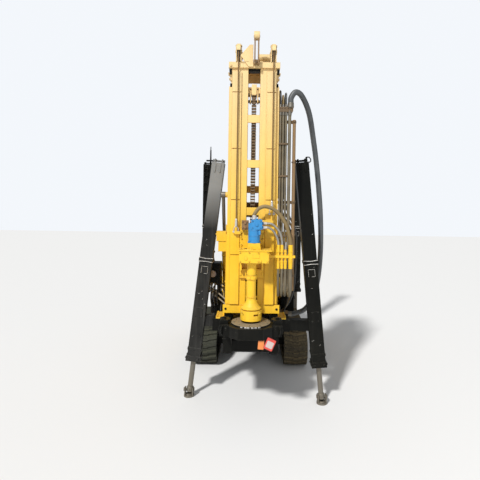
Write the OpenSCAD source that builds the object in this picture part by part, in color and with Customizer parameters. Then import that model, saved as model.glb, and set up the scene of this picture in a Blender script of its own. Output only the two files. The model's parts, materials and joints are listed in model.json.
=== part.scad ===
// Compact crawler drilling rig with a tilting mast, a rotary head and four jack legs.
// The origin is on the ground in the middle of the machine, +Y points away from the mast end.

/* [Overall] */
// Distance from the middle to the table's front edge
half_length = 1890; // [1860:5:1960]
// Outside radius of a jack foot
foot_r = 60; // [50:5:80]

/* [Tracks] */
// Distance from the middle to a track's centre line
track_x = 640; // [600:5:700]
// Width of the rubber track
track_w = 330; // [260:5:340]
// Radius over the lugs where the track turns
track_r = 250; // [230:5:270]
// Height of a lug
lug_h = 20; // [12:1:28]
// Thickness of the rubber band under the lugs
band_t = 40; // [30:1:50]
// Front wheel centre along Y
idler_y = 50; // [0:5:120]
// Rear wheel centre along Y
sprocket_y = 1300; // [1200:5:1310]
// Number of lugs round a track
lug_count = 46; // [36:2:56]

/* [Chassis] */
// Distance from the middle to a chassis beam's centre
beam_x = 250; // [240:5:255]
// Width of a chassis beam
beam_w = 100; // [80:5:110]
// Height of a chassis beam
beam_h = 160; // [120:5:180]
// Underside of the chassis beams
beam_z = 680; // [640:5:690]
// Thickness of the deck plate
deck_t = 10; // [6:1:12]

/* [Leg beams] */
// Outside width of a cross tube
cross_w = 120; // [118:1:126]
// Outside height of a cross tube
cross_h = 140; // [136:1:150]
// Wall of a cross tube
cross_wall = 9.5; // [6:0.5:11]
// Clearance round a sliding leg beam
slide_gap = 0.5; // [0.3:0.1:1]
// Half length of a cross tube
cross_half = 440; // [420:5:460]

/* [Legs] */
// Side of a square leg tube
leg_w = 150; // [130:5:150]
// Wall of a leg tube
leg_wall = 8; // [6:1:12]
// Diameter of a jack rod
rod_d = 60; // [50:2:70]
// Length of a rod inside its leg at rest
rod_inside = 1250; // [1000:50:1400]

/* [Mast] */
// Depth of a mast column
column_d = 250; // [220:5:255]
// Width of a mast column
column_w = 173; // [160:1:176]
// Width of the slot between the columns
slot_w = 132; // [124:2:140]
// Wall of a mast column
column_wall = 10; // [6:1:14]
// Width of the rail on a column's outer side
rail_w = 34; // [26:1:36]
// Height of the mast foot above the ground
mast_z0 = 1115; // [1112:1:1130]
// Height of the column tops
mast_z1 = 3755; // [3650:5:3800]
// Height of the tilt hinge
hinge_z = 1900; // [1880:5:1920]

/* [Head] */
// Distance that the drill axis stands in front of the mast
axis_gap = 160; // [150:5:175]
// Width of the gearbox
gearbox_w = 304; // [280:2:310]
// Height of the gearbox
gearbox_h = 133; // [120:1:145]
// Diameter of the rotary motor
motor_d = 122; // [110:2:140]
// Diameter of the spindle
spindle_d = 96; // [86:2:104]
// Diameter of the spindle's through bore
spindle_bore = 40; // [30:2:50]

/* [Table] */
// Width of the drill table
table_w = 640; // [600:10:660]
// Height of the table's top face
table_z = 1057; // [1050:1:1060]
// Thickness of the table
table_t = 112; // [90:2:120]
// Diameter of the hole that the drill pipe goes through
pipe_hole_d = 190; // [170:2:200]

/* [Bonnet] */
// Half width of the bonnet
bonnet_x = 400; // [380:5:420]
// Length of the bonnet
bonnet_l = 1650; // [1550:10:1680]
// Height of the bonnet's roof
bonnet_z = 1720; // [1650:5:1735]
// Thickness of the bonnet's sheet
sheet_t = 12; // [8:1:16]

/* [Hidden] */
$fn = 48;

yellow = "#e8a317";
black = "#2b2a29";
steel = "#8d9096";
rubber = "#262626";
blue = "#1f7fd0";

// Chassis heights and lengths
beam_top = beam_z + beam_h;
beam_front = -1500;
deck = beam_top + deck_t;
cross_z = beam_top + cross_h / 2;
cross_top = beam_top + cross_h;

// Mast and drill axis
mast_front = -1500;
mast_back = mast_front + column_d;
hinge_y = mast_back + 150;
drill_y = mast_front - axis_gap;
column_x = slot_w / 2;
mast_half = column_x + column_w;
mast_side = mast_half + rail_w;

// Slabs along X beside the mast, from the inside out
stand_x = mast_side + 8;
stand_t = 20;
lift_x = 341;
lift_r = 34;
eye_w = 50;
rod_gap = 0.3;
lug_t = 14;
lift_pin_d = 30;

// Places along the chassis, from the bonnet to the rear bumper
bonnet_y0 = -190;
bonnet_y1 = bonnet_y0 + bonnet_l;
far_left_y = bonnet_y1 + leg_w / 2 + 125;
far_right_y = far_left_y + cross_w + 20;
beam_rear = far_right_y + 70;
rear_end = beam_rear + 20;

// Leg table: name, x at the tube's top, x at the foot, y, tube bottom, tube top, way out
LEGS = [
    ["near_left", -410, -724, -1030, 440, 2780, -1],
    ["near_right", 560, 835, -1170, 440, 2780, 1],
    ["far_left", -835, -835, far_left_y, 700, 3040, -1],
    ["far_right", 835, 835, far_right_y, 700, 3040, 1]
];
LEG_TOP_X = 1;
LEG_FOOT_X = 2;
LEG_Y = 3;
LEG_Z0 = 4;
LEG_Z1 = 5;
LEG_OUT = 6;

// Lift cylinder pins at rest, as [y, z]
lift_base = [-400, 1000];
lift_eye = [-1150, 2400];

// Places along the mast
crown_z = mast_z1;
crown_t = 62;
crown_top = crown_z + crown_t;
sheave_z = crown_top + 123;
sheave_r = 60;
rope_d = 14;
rope_y = mast_front - 44;
rope_x = [-172, 205];
rope_end = [2045, 2240];
winch_at = [mast_back + 110, 2230];
drum_r = 75;
rope_back_y = winch_at[0] - drum_r - rope_d / 2 - rod_gap;
sheave_y = [rope_y + sheave_r, rope_back_y - sheave_r];
clamp_z = 3330;
tie_z = [3213, 2727, 2214, 1520];
tie_h = 84;

// Guide rails on the mast's front: a web with a cap that the carriage's claws hook behind
guide_x = 137;
guide_lip = 15;
guide_web_t = 8;
guide_cap_t = 10;
plate_front = mast_front - 32;

// A box between two corners
module block(a, b) {
    translate(a) cube(b - a);
}

// A round bar along X
module bar_x(x0, x1, y, z, d) {
    translate([x0, y, z]) rotate([0, 90, 0]) cylinder(d = d, h = x1 - x0);
}

// A round bar along Y
module bar_y(y0, y1, x, z, d) {
    translate([x, y0, z]) rotate([-90, 0, 0]) cylinder(d = d, h = y1 - y0);
}

// A profile in Y and Z, pushed along X
module side_plate(x0, x1, points) {
    translate([x0, 0, 0]) rotate([90, 0, 90]) linear_extrude(x1 - x0) polygon(points);
}

// The same thing on both sides of the middle
module both_sides() {
    children();
    mirror([1, 0, 0]) children();
}

// A round tube swept along points as one closed solid
module sweep(points, r, sides = 8) {
    n = len(points);
    tangent = [for (i = [0:n - 1])
        let (d = points[min(i + 1, n - 1)] - points[max(i - 1, 0)]) d / norm(d)];
    rings = [for (i = [0:n - 1])
        let (u0 = cross(tangent[i], [0, 1, 0]), u = norm(u0) < 0.05 ? [1, 0, 0] : u0 / norm(u0),
             v = cross(tangent[i], u))
        for (k = [0:sides - 1])
            points[i] + r * (u * cos(360 * k / sides) + v * sin(360 * k / sides))];
    side_faces = [for (i = [0:n - 2], k = [0:sides - 1])
        let (a = i * sides + k, b = i * sides + (k + 1) % sides)
        each [[a, b, b + sides], [a, b + sides, a + sides]]];
    cap_faces = [for (k = [1:sides - 2])
        each [[0, k + 1, k],
              [(n - 1) * sides, (n - 1) * sides + k, (n - 1) * sides + k + 1]]];
    polyhedron([for (p = rings) p], concat(side_faces, cap_faces));
}

// Smooth points through hand-picked route points
function curve_point(a, b, c, d, t) =
    0.5 * ((2 * b) + (c - a) * t + (2 * a - 5 * b + 4 * c - d) * t * t
           + (3 * b - a - 3 * c + d) * t * t * t);
function smooth_route(p, steps) = [
    for (i = [0:len(p) - 2], s = [0:steps - 1])
        curve_point(p[max(i - 1, 0)], p[i], p[i + 1], p[min(i + 2, len(p) - 1)], s / steps),
    p[len(p) - 1]
];

// One rubber track as a loop with its lugs in its outline
module track_loop(side) {
    straight = sprocket_y - idler_y;
    band_r = track_r - lug_h;
    loop_l = 2 * straight + 2 * PI * band_r;
    pitch = loop_l / lug_count;
    color(rubber)
    translate([side * track_x - track_w / 2, 0, 0])
    rotate([90, 0, 90]) linear_extrude(track_w) difference() {
        union() {
            translate([idler_y, track_r]) circle(r = band_r);
            translate([sprocket_y, track_r]) circle(r = band_r);
            translate([idler_y, track_r - band_r]) square([straight, 2 * band_r]);
            for (i = [0:lug_count - 1]) place_on_loop(i * pitch, straight, band_r) lug_shape(pitch);
        }
        translate([idler_y, track_r]) circle(r = band_r - band_t);
        translate([sprocket_y, track_r]) circle(r = band_r - band_t);
        translate([idler_y, track_r - band_r + band_t]) square([straight, 2 * (band_r - band_t)]);
    }
}

// Moves a shape to a distance along the loop, with its foot on the band
module place_on_loop(s, straight, r) {
    arc = PI * r;
    if (s < straight)
        translate([idler_y + s, track_r - r]) rotate(180) children();
    else if (s < straight + arc)
        translate([sprocket_y, track_r]) rotate((s - straight) / arc * 180 - 90)
            translate([r, 0]) rotate(-90) children();
    else if (s < 2 * straight + arc)
        translate([sprocket_y - (s - straight - arc), track_r + r]) children();
    else
        translate([idler_y, track_r]) rotate((s - 2 * straight - arc) / arc * 180 + 90)
            translate([r, 0]) rotate(-90) children();
}

module lug_shape(pitch) {
    foot = pitch * 0.3;
    tip = pitch * 0.2;
    polygon([[-foot, -4], [foot, -4], [foot, 0], [tip, lug_h], [-tip, lug_h], [-foot, 0]]);
}

// Frame, front wheel, drive sprocket and rollers inside one track
module track_frame(side) {
    wheel_r = track_r - lug_h - band_t - rod_gap;
    roller_r = 62;
    roller_z = lug_h + band_t + rod_gap + roller_r;
    frame_z0 = roller_z + 10;
    frame_z1 = 2 * track_r - lug_h - band_t - 70;
    color(black) translate([side * track_x, 0, 0]) {
        side_plate(-85, 85, [
            [idler_y + 90, frame_z0], [sprocket_y - 60, frame_z0], [sprocket_y + 10, track_r - 40],
            [sprocket_y + 10, track_r + 60], [sprocket_y - 180, frame_z1],
            [idler_y + 200, frame_z1], [idler_y + 60, track_r + 40], [idler_y + 60, track_r - 30]
        ]);
        for (y = [idler_y + 230:195:sprocket_y - 210])
            bar_x(-70, 70, y, roller_z, 2 * roller_r);
        bar_x(-30, 30, idler_y, track_r, 2 * wheel_r);
        bar_x(-100, 100, idler_y, track_r, 90);
        bar_x(-35, 35, sprocket_y, track_r, 2 * wheel_r);
        bar_x(-110, 110, sprocket_y, track_r, 200);
        bar_x(-60, 60, (idler_y + sprocket_y) / 2, 2 * track_r - lug_h - band_t - 45 - rod_gap, 90);
    }
}

// Centre of the undercarriage with its two axles under the chassis
module car_body() {
    inner = track_x - 85;
    color(black) {
        for (y = [290, 900])
            block([-inner, y, track_r - 60], [inner, y + 160, track_r + 60]);
        side_plate(-beam_x - beam_w / 2, beam_x + beam_w / 2, [
            [230, track_r + 10], [1120, track_r + 10], [1180, track_r + 120],
            [1100, beam_z], [250, beam_z], [170, track_r + 120]
        ]);
    }
}

// Plate on the beams that carries the tanks, the engine and the bonnet
module deck_plate() {
    half = beam_x + beam_w / 2 + 120;
    notch = lift_x - eye_w / 2 - rod_gap - lug_t - 6;
    color(black) difference() {
        block([-half, -930, beam_top], [half, bonnet_y1 + 100, deck]);
        both_sides() block([notch, lift_base[0] - 80, beam_top - 1], [half + 1, lift_base[0] + 80, deck + 1]);
    }
}

// Two long beams with their cross plates and the lugs of the lift cylinders
module chassis() {
    inner = beam_x - beam_w / 2;
    outer = beam_x + beam_w / 2;
    color(black) {
        both_sides() block([inner, beam_front, beam_z], [outer, beam_rear, beam_top]);
        for (y = [beam_front, -900, -380, 200, 1180, beam_rear - 60])
            block([-inner, y, beam_z + 20], [inner, y + 60, beam_top - 20]);
        block([-outer - 60, beam_rear, beam_z - 20], [outer + 60, rear_end, beam_top + 40]);
        both_sides() {
            block([outer - 1, lift_base[0] - 75, beam_top - 30],
                  [lift_x + eye_w / 2 + rod_gap + lug_t, lift_base[0] + 75, beam_top]);
            for (x = [lift_x - eye_w / 2 - rod_gap - lug_t, lift_x + eye_w / 2 + rod_gap])
                side_plate(x, x + lug_t, [
                    [lift_base[0] - 70, beam_top - 1], [lift_base[0] + 70, beam_top - 1],
                    [lift_base[0] + 40, lift_base[1] + 30], [lift_base[0] + 20, lift_base[1] + 40],
                    [lift_base[0] - 20, lift_base[1] + 40], [lift_base[0] - 40, lift_base[1] + 30]
                ]);
            bar_x(lift_x - eye_w / 2 - rod_gap - lug_t, lift_x + eye_w / 2 + rod_gap + lug_t,
                  lift_base[0], lift_base[1], lift_pin_d);
        }
    }
}

// Table at the front with its faceted nose, round plate, clamps and the drill pipe's hole
module drill_table() {
    top = table_z;
    low = table_z - table_t;
    front = -half_length;
    back = mast_back + 20;
    half = table_w / 2;
    nose = 125;
    shoulder = 216;
    color(black) difference() {
        union() {
            translate([0, 0, low]) linear_extrude(table_t) polygon([
                [-nose, front], [nose, front], [shoulder, front + 84], [shoulder, front + 112],
                [half, front + 130], [half, mast_front - 30], [-half, mast_front - 30],
                [-half, front + 130], [-shoulder, front + 112], [-shoulder, front + 84]
            ]);
            block([-300, mast_front - 60, low], [300, back, top - 30]);
            translate([0, drill_y, top - 1]) cylinder(r = 205, h = 13);
            both_sides() {
                block([beam_x - 40, beam_front, beam_top], [beam_x + 40, mast_front + 90, low]);
                block([200, mast_front + 20, top - 30], [290, mast_back - 20, mast_z0 - 0.5]);
                table_clamp();
            }
        }
        translate([0, drill_y, low - 1]) cylinder(d = pipe_hole_d, h = table_t + 40);
    }
}

// Clamp beside the round plate with its bolt
module table_clamp() {
    y0 = drill_y - 70;
    block([232, y0, table_z - 1], [table_w / 2, y0 + 130, table_z + 44]);
    block([214, y0 + 30, table_z + 20], [240, y0 + 100, table_z + 44]);
    translate([276, y0 + 65, table_z + 43]) cylinder(d = 40, h = 20, $fn = 6);
    block([236, y0 - 34, table_z - 70], [300, y0 + 1, table_z - 8]);
}

// Two tubes side by side, for the left and the right leg beam
module cross_pair(y_left, y_right) {
    hole_w = cross_w - 2 * cross_wall;
    hole_h = cross_h - 2 * cross_wall;
    for (y = [y_left, y_right]) difference() {
        block([-cross_half, y - cross_w / 2, beam_top], [cross_half, y + cross_w / 2, cross_top]);
        block([-cross_half - 1, y - hole_w / 2, cross_z - hole_h / 2],
              [cross_half + 1, y + hole_w / 2, cross_z + hole_h / 2]);
    }
    block([-300, y_left < y_right ? y_left + cross_w / 2 : y_right + cross_w / 2, beam_top + 20],
          [300, y_left < y_right ? y_right - cross_w / 2 : y_left - cross_w / 2, cross_top - 20]);
}

module cross_tubes() {
    color(black) {
        cross_pair(LEGS[0][LEG_Y], LEGS[1][LEG_Y]);
        cross_pair(LEGS[2][LEG_Y], LEGS[3][LEG_Y]);
    }
}

// Two side plates that carry the tilt hinge, on a base across the front tubes
module mast_stand() {
    y0 = LEGS[1][LEG_Y] - cross_w / 2;
    y1 = LEGS[0][LEG_Y] + cross_w / 2;
    base = cross_top + 16;
    color(yellow) both_sides() {
        block([mast_half, y0, cross_top], [400, y1, base]);
        side_plate(stand_x, stand_x + stand_t, [
            [y0, base], [y1, base], [hinge_y + 75, hinge_z - 60], [hinge_y + 75, hinge_z + 30],
            [hinge_y + 35, hinge_z + 75], [hinge_y - 35, hinge_z + 75],
            [hinge_y - 75, hinge_z + 30], [hinge_y - 75, hinge_z - 60]
        ]);
        bar_x(mast_half - 20, stand_x + stand_t + 4, hinge_y, hinge_z, 50);
        bar_x(stand_x - 7, stand_x + stand_t + 4, hinge_y, hinge_z, 110);
        block([stand_x + stand_t - 1, hinge_y - 70, hinge_z - 40],
              [stand_x + stand_t + 112, hinge_y + 60, hinge_z + 75]);
        side_plate(stand_x + stand_t - 1, stand_x + stand_t + 90, [
            [hinge_y - 60, hinge_z - 40], [hinge_y + 50, hinge_z - 40], [hinge_y - 40, hinge_z - 160],
            [hinge_y - 60, hinge_z - 160]
        ]);
    }
}

// Frame that the lowered mast lies on
module mast_rest() {
    y = bonnet_y0 - 110;
    top = hinge_z + (hinge_y - mast_back) - 6;
    color(yellow) {
        both_sides() block([310, y, deck], [360, y + 60, top - 60]);
        block([-360, y, top - 60], [360, y + 60, top - 30]);
        both_sides() block([column_x + 8, y - 10, top - 60], [column_x + 84, y + 70, top]);
    }
}

// Engine, one plain block on the deck
module engine_block() {
    color(steel) block([-230, 100, deck], [230, 900, deck + engine_h]);
}

door_y0 = bonnet_y0 + 250;
door_y1 = bonnet_y1 - 330;
door_z0 = deck + 120;
door_z1 = bonnet_z - 110;
door_gap = 6;
hinge_line_z = door_z1 - door_gap - 8;
hinge_out = 8;
engine_h = 700;
exhaust_at = [120, 620];
exhaust_d = 70;

// Hollow sheet bonnet over the engine, with an open bottom and two side door holes
module bonnet() {
    y1 = bonnet_y1;
    slope = 90;
    color(yellow) difference() {
        rotate([90, 0, 0]) translate([0, 0, -y1]) linear_extrude(bonnet_l) polygon([
            [-bonnet_x, deck], [bonnet_x, deck], [bonnet_x, bonnet_z - slope],
            [bonnet_x - slope, bonnet_z], [-bonnet_x + slope, bonnet_z], [-bonnet_x, bonnet_z - slope]
        ]);
        rotate([90, 0, 0]) translate([0, 0, -y1 + sheet_t]) linear_extrude(bonnet_l - 2 * sheet_t)
            polygon([
                [-bonnet_x + sheet_t, deck - 1], [bonnet_x - sheet_t, deck - 1],
                [bonnet_x - sheet_t, bonnet_z - slope - 5], [bonnet_x - slope - 5, bonnet_z - sheet_t],
                [-bonnet_x + slope + 5, bonnet_z - sheet_t], [-bonnet_x + sheet_t, bonnet_z - slope - 5]
            ]);
        for (side = [-1, 1])
            translate([side * bonnet_x - 30, 0, 0])
                block([0, door_y0, door_z0], [60, door_y1, door_z1]);
        for (i = [0:5], j = [0:6])
            block([-285 + i * 98, y1 - 30, deck + 130 + j * 82],
                  [-285 + i * 98 + 76, y1 + 10, deck + 130 + j * 82 + 60]);
        translate([exhaust_at[0], exhaust_at[1], bonnet_z - 40]) cylinder(d = exhaust_d + 20, h = 80);
    }
    color(yellow) both_sides() for (y = [door_y0 + 150, door_y1 - 150]) {
        block([bonnet_x - 2, y + 1, door_z1], [bonnet_x + 6, y + 40, door_z1 + 40]);
        block([bonnet_x + 1, y + 1, hinge_line_z], [bonnet_x + 6, y + 40, door_z1 + 1]);
        bar_y(y + rod_gap, y + 40, bonnet_x + hinge_out, hinge_line_z, 12);
    }
}

// Side door with square holes, hung at its top edge
module side_door(side) {
    x_out = bonnet_x;
    x_in = bonnet_x - sheet_t;
    hole = 34;
    step = 52;
    rows = 9;
    columns = 12;
    mid_y = (door_y0 + door_y1) / 2;
    mid_z = (door_z0 + door_z1) / 2;
    color(yellow) mirror([side < 0 ? 1 : 0, 0, 0]) {
        difference() {
            block([x_in, door_y0 + door_gap, door_z0 + door_gap],
                  [x_out, door_y1 - door_gap, door_z1 - door_gap]);
            for (i = [0:columns - 1], j = [0:rows - 1])
                translate([x_in - 1, mid_y + (i - (columns - 1) / 2) * step - hole / 2,
                           mid_z + (j - (rows - 1) / 2) * step - hole / 2])
                    cube([sheet_t + 2, hole, hole]);
        }
        for (y = [door_y0 + 150, door_y1 - 150]) {
            bar_y(y - 40, y, x_out + hinge_out, hinge_line_z, 14);
            block([x_out - 1, y - 40, hinge_line_z - 6], [x_out + hinge_out, y, hinge_line_z + 5]);
        }
        block([x_out, mid_y - 50, door_z0 + 30], [x_out + 14, mid_y + 50, door_z0 + 46]);
    }
}

// Radiator across the rear of the bonnet
module radiator() {
    y0 = bonnet_y1 - 220;
    color(black) difference() {
        block([-290, y0, deck], [290, y0 + 90, deck + 660]);
        bar_y(y0 - 1, y0 + 22, 0, deck + 340, 480);
    }
}

// Silencer pipe through the roof
module exhaust() {
    color(steel) {
        translate([exhaust_at[0], exhaust_at[1], deck + engine_h])
            cylinder(d = exhaust_d, h = bonnet_z + 120 - deck - engine_h);
        translate([exhaust_at[0], exhaust_at[1], bonnet_z + 120])
            cylinder(d1 = exhaust_d, d2 = exhaust_d + 20, h = 40);
    }
}

tank_y0 = bonnet_y0 - 640;
tank_y1 = bonnet_y0 - 210;
module hydraulic_tank() {
    top = deck + 590;
    color(yellow) {
        block([-285, tank_y0, deck], [-15, tank_y1, top]);
        translate([-80, tank_y1 - 80, top]) cylinder(d = 90, h = 40);
        bar_y(tank_y0 - 20, tank_y0, -150, deck + 300, 60);
    }
}

module fuel_tank() {
    top = deck + 490;
    color(black) {
        block([15, tank_y0, deck], [285, tank_y1, top]);
        translate([200, tank_y1 - 80, top]) cylinder(d = 80, h = 45);
    }
}

// Lever console at the left, on a post beyond the near leg
module control_console() {
    color(black) {
        block([-420, -900, deck], [-385, -840, 1340]);
        block([-420, -620, deck], [-385, -560, 1340]);
        side_plate(-560, -385, [
            [-900, 1330], [-560, 1330], [-560, 1500], [-620, 1560], [-840, 1560], [-900, 1500]
        ]);
        bar_y(-925, -899, -470, 1440, 92);
        for (i = [0:5]) translate([-490, -825 + i * 38, 1540]) {
            cylinder(d = 12, h = 130);
            translate([0, 0, 140]) sphere(d = 30);
        }
    }
}

// Valve bank below the console, with its spool caps and a round filter
module valve_bank() {
    y0 = -785;
    y1 = -650;
    sections = 5;
    section_w = 34;
    pitch = section_w + 4;
    color(steel) {
        block([-420, y0 + 20, deck], [-315, y1 - 20, 930]);
        for (i = [0:sections - 1]) {
            x = -500 + i * pitch;
            block([x, y0, 925], [x + section_w, y1, 1090]);
            bar_y(y0 - 46, y0, x + section_w / 2, 1050, 26);
            translate([x + section_w / 2, (y0 + y1) / 2, 1089]) cylinder(d = 22, h = 34);
        }
        block([-506, y0 + 20, 940], [-306, y1 - 20, 1070]);
        block([-490, y1 - 21, 990], [-450, y1 + 20, 1050]);
        translate([-470, y1 + 50, 900]) cylinder(d = 90, h = 270);
    }
}

// Steel box on the deck's right edge
module tool_box() {
    y0 = -560;
    y1 = -270;
    color(black) difference() {
        union() {
            block([392, y0, deck], [560, y1, deck + 310]);
            block([386, y0 - 6, deck + 310], [566, y1 + 6, deck + 330]);
            block([440, y0 - 14, deck + 255], [510, y0 + 1, deck + 285]);
        }
        block([404, y0 + 12, deck + 12], [548, y1 - 12, deck + 298]);
    }
}

// Air connection on the deck's right side
module air_manifold() {
    color(steel) {
        block([330, -720, deck], [410, -600, deck + 90]);
        translate([410, -660, deck + 50]) rotate([0, 90, 0]) cylinder(d = 84, h = 60);
    }
}

// Two hollow columns with outside rails, front guides and ties, and the hinge lugs behind
module mast_columns() {
    hinge_lug_t = 22;
    rail_top = mast_z1 - 125;
    joints_z = [mast_z0 + 95, 1745, 2337, 2887, 3494, mast_z1 - 35];
    color(yellow) {
        both_sides() difference() {
            union() {
                block([column_x, mast_front, mast_z0 + 90], [mast_half, mast_back, mast_z1]);
                translate([0, mast_front + 150, 0]) rotate([90, 0, 0]) linear_extrude(120) polygon([
                    [mast_half, mast_z0 + 90], [mast_side, mast_z0 + 90], [mast_side, rail_top - 75],
                    [mast_half, rail_top]
                ]);
                side_plate(mast_half - hinge_lug_t, mast_half, [
                    [mast_back - 10, hinge_z - 260], [hinge_y + 30, hinge_z - 55],
                    [hinge_y + 60, hinge_z - 20], [hinge_y + 60, hinge_z + 20],
                    [hinge_y + 30, hinge_z + 55], [mast_back - 10, hinge_z + 260]
                ]);
                for (i = [0:4]) {
                    z0 = joints_z[i] + 4;
                    z1 = joints_z[i + 1] - 4;
                    block([guide_x + guide_lip, mast_front - guide_web_t - 1, z0],
                          [mast_half - 3, mast_front, z1]);
                    block([guide_x, mast_front - guide_web_t - guide_cap_t, z0],
                          [mast_half - 3, mast_front - guide_web_t, z1]);
                }
            }
            block([column_x + column_wall, mast_front + column_wall, mast_z0 + 80],
                  [mast_half - column_wall, mast_back - column_wall, mast_z1 - column_wall]);
            bar_x(mast_half - hinge_lug_t - 1, mast_half + 1, hinge_y, hinge_z, 50 + 2 * rod_gap);
        }
        for (z = tie_z)
            block([-column_x, mast_front + 4, z - tie_h / 2], [column_x, mast_front + 20, z + tie_h / 2]);
        for (z = [[mast_z0 + 300, 1800], [2420, 2500], [mast_z1 - 90, mast_z1]])
            block([-column_x, mast_back - 12, z[0]], [column_x, mast_back, z[1]]);
        both_sides() {
            block([mast_half, lift_eye[0] - 100, lift_eye[1] - 60],
                  [mast_half + 12, lift_eye[0] + 50, lift_eye[1] + 60]);
            block([mast_half - 20, mast_back - 10, lift_eye[1] - 60],
                  [mast_half + 12, lift_eye[0] + 50, lift_eye[1] + 60]);
            bar_x(mast_half, lift_x - eye_w / 2 - rod_gap, lift_eye[0], lift_eye[1], 64);
        }
    }
}

// Frame under the columns with its front ears
module mast_foot() {
    ear_x = 304;
    ear_t = 16;
    color(yellow) difference() {
        union() {
            block([-mast_half, mast_front, mast_z0], [mast_half, mast_back, mast_z0 + 90]);
            block([-ear_x, mast_front, mast_z0], [ear_x, mast_front + ear_t, mast_z0 + 90]);
            block([-ear_x, mast_front, mast_z0], [ear_x, mast_front + 120, mast_z0 + 14]);
        }
        block([-column_x, mast_front - 1, mast_z0 - 1], [column_x, mast_front + 175, mast_z0 + 91]);
        for (x = [-275, 275]) bar_y(mast_front - 1, mast_front + ear_t + 1, x, mast_z0 + 45, 15);
    }
}

// Head block on the columns with its rope cheeks, front gusset and rear cross tube
module mast_crown() {
    tube_d = 94;
    overhang = 20;
    color(yellow) {
        block([-mast_side - 3, mast_front - overhang, crown_z],
              [mast_side + 3, mast_back + overhang, crown_top]);
        both_sides() for (y = [mast_front, mast_back - 70])
            block([mast_half, y, crown_z - 78], [mast_half + 30, y + 70, crown_z]);
        for (x = rope_x, y = sheave_y) both_cheeks(x, y);
        translate([0, mast_front - overhang, 0]) rotate([90, 0, 0]) linear_extrude(12) polygon([
            [-152, crown_top + 66], [-53, crown_top + 182], [-16, crown_top + 182],
            [-14, crown_z + 8], [-65, crown_z + 8]
        ]);
        block([-40, mast_front - overhang - 1, crown_top - 1], [-28, mast_front + 110, crown_top + 120]);
        bar_x(46, 172, sheave_y[1], sheave_z, tube_d);
        block([60, sheave_y[1] - 30, crown_top - 1], [160, sheave_y[1] + 30, sheave_z]);
    }
}

// Two round-topped cheek plates that hold a sheave's pin
module both_cheeks(x, y) {
    for (side = [-1, 1]) translate([x + side * 25, 0, 0])
        side_plate(-5, 5, [
            [y - 42, crown_top - 1], [y + 42, crown_top - 1], [y + 42, sheave_z + 26],
            [y + 30, sheave_z + 56], [y + 10, sheave_z + 72], [y - 10, sheave_z + 72],
            [y - 30, sheave_z + 56], [y - 42, sheave_z + 26]
        ]);
    bar_x(x - 36, x + 36, y, sheave_z, 22);
}

// Grooved rope wheels on the crown
module crown_sheaves() {
    bore = 22 + 2 * rod_gap;
    groove = sheave_r - rope_d / 2 - rod_gap;
    color(steel) for (x = rope_x, y = sheave_y)
        translate([x, y, sheave_z]) rotate([0, 90, 0]) rotate_extrude() polygon([
            [bore / 2, -16], [sheave_r + 6, -16], [sheave_r + 6, -12], [groove, -6],
            [groove, 6], [sheave_r + 6, 12], [sheave_r + 6, 16], [bore / 2, 16]
        ]);
}

// Small service jib on the crown's front, two plates with a round head
jib_x = 21;
jib_y = mast_front - 20;
module jib() {
    top = crown_top + 258;
    color("#7a4a2c") {
        for (x = [jib_x - 27, jib_x + 12]) side_plate(x, x + 15, [
            [jib_y, crown_z + 22], [jib_y - 62, crown_z + 22], [jib_y - 74, crown_z + 90],
            [jib_y - 50, top], [jib_y + 10, top], [jib_y + 30, crown_top], [jib_y, crown_top]
        ]);
        bar_x(jib_x - 34, jib_x + 34, jib_y - 40, crown_z + 62, 26);
        bar_x(jib_x - 34, jib_x + 34, jib_y - 20, top + 10, 22);
        bar_x(jib_x - 27, jib_x + 27, jib_y - 20, top + 14, 84);
    }
}

// Rope winch on the mast's back, its drum full of rope
module winch() {
    y = winch_at[0];
    z = winch_at[1];
    color(steel) {
        bar_x(-216, 216, y, z, 2 * drum_r);
        for (x = [-229, 214]) bar_x(x, x + 15, y, z, 200);
        bar_x(-245, 245, y, z, 90);
    }
    color(black) for (x = [-250, 238])
        block([x, mast_back, z - 60], [x + 12, y + 40, z + 60]);
}

// Roller chain in the slot, with its outer links standing out at every second pitch
chain_pitch = 31.75;
chain_links = 62;
chain_y = mast_front + 110;
chain_top = 3424;
chain_z0 = chain_top - chain_links * chain_pitch;
link_t = 4;
link_end = 8.5;
inner_x = 17;
link_h = 22;
wheel_d = 104;
yoke_in = 34;
module feed_chain() {
    color(steel) {
        both_sides() translate([0, chain_y + link_h / 2, 0]) rotate([90, 0, 0])
            linear_extrude(link_h) polygon(concat(
                [[inner_x, chain_z0]],
                [for (i = [1:2:chain_links - 1]) let (z = chain_z0 + i * chain_pitch, x = inner_x + link_t)
                    each [[x, z - link_end], [x + link_t, z - link_end],
                          [x + link_t, z + chain_pitch + link_end], [x, z + chain_pitch + link_end]]],
                [[inner_x, chain_top + 2 * link_end]]
            ));
        for (i = [0:chain_links])
            bar_x(-inner_x - 1, inner_x + 1, chain_y, chain_z0 + i * chain_pitch, 16, $fn = 4);
        for (end = [[chain_z0, column_x], [chain_top, yoke_in - rod_gap]]) {
            bar_x(-13, 13, chain_y, end[0], wheel_d, $fn = 24);
            bar_x(-end[1], end[1], chain_y, end[0], 30, $fn = 24);
        }
    }
}

// Housing over the chain's top wheel, hung between the columns
module chain_yoke() {
    z = chain_top;
    color(yellow) {
        block([-27, chain_y - 66, z + 58], [27, chain_y + 40, z + 172]);
        block([-column_x, chain_y - 52, z + 78], [column_x, chain_y + 30, z + 144]);
        for (x = [-yoke_in - 12, yoke_in])
            block([x, chain_y - 60, z - 22], [x + 12, chain_y + 30, z + 144]);
    }
}

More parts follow.
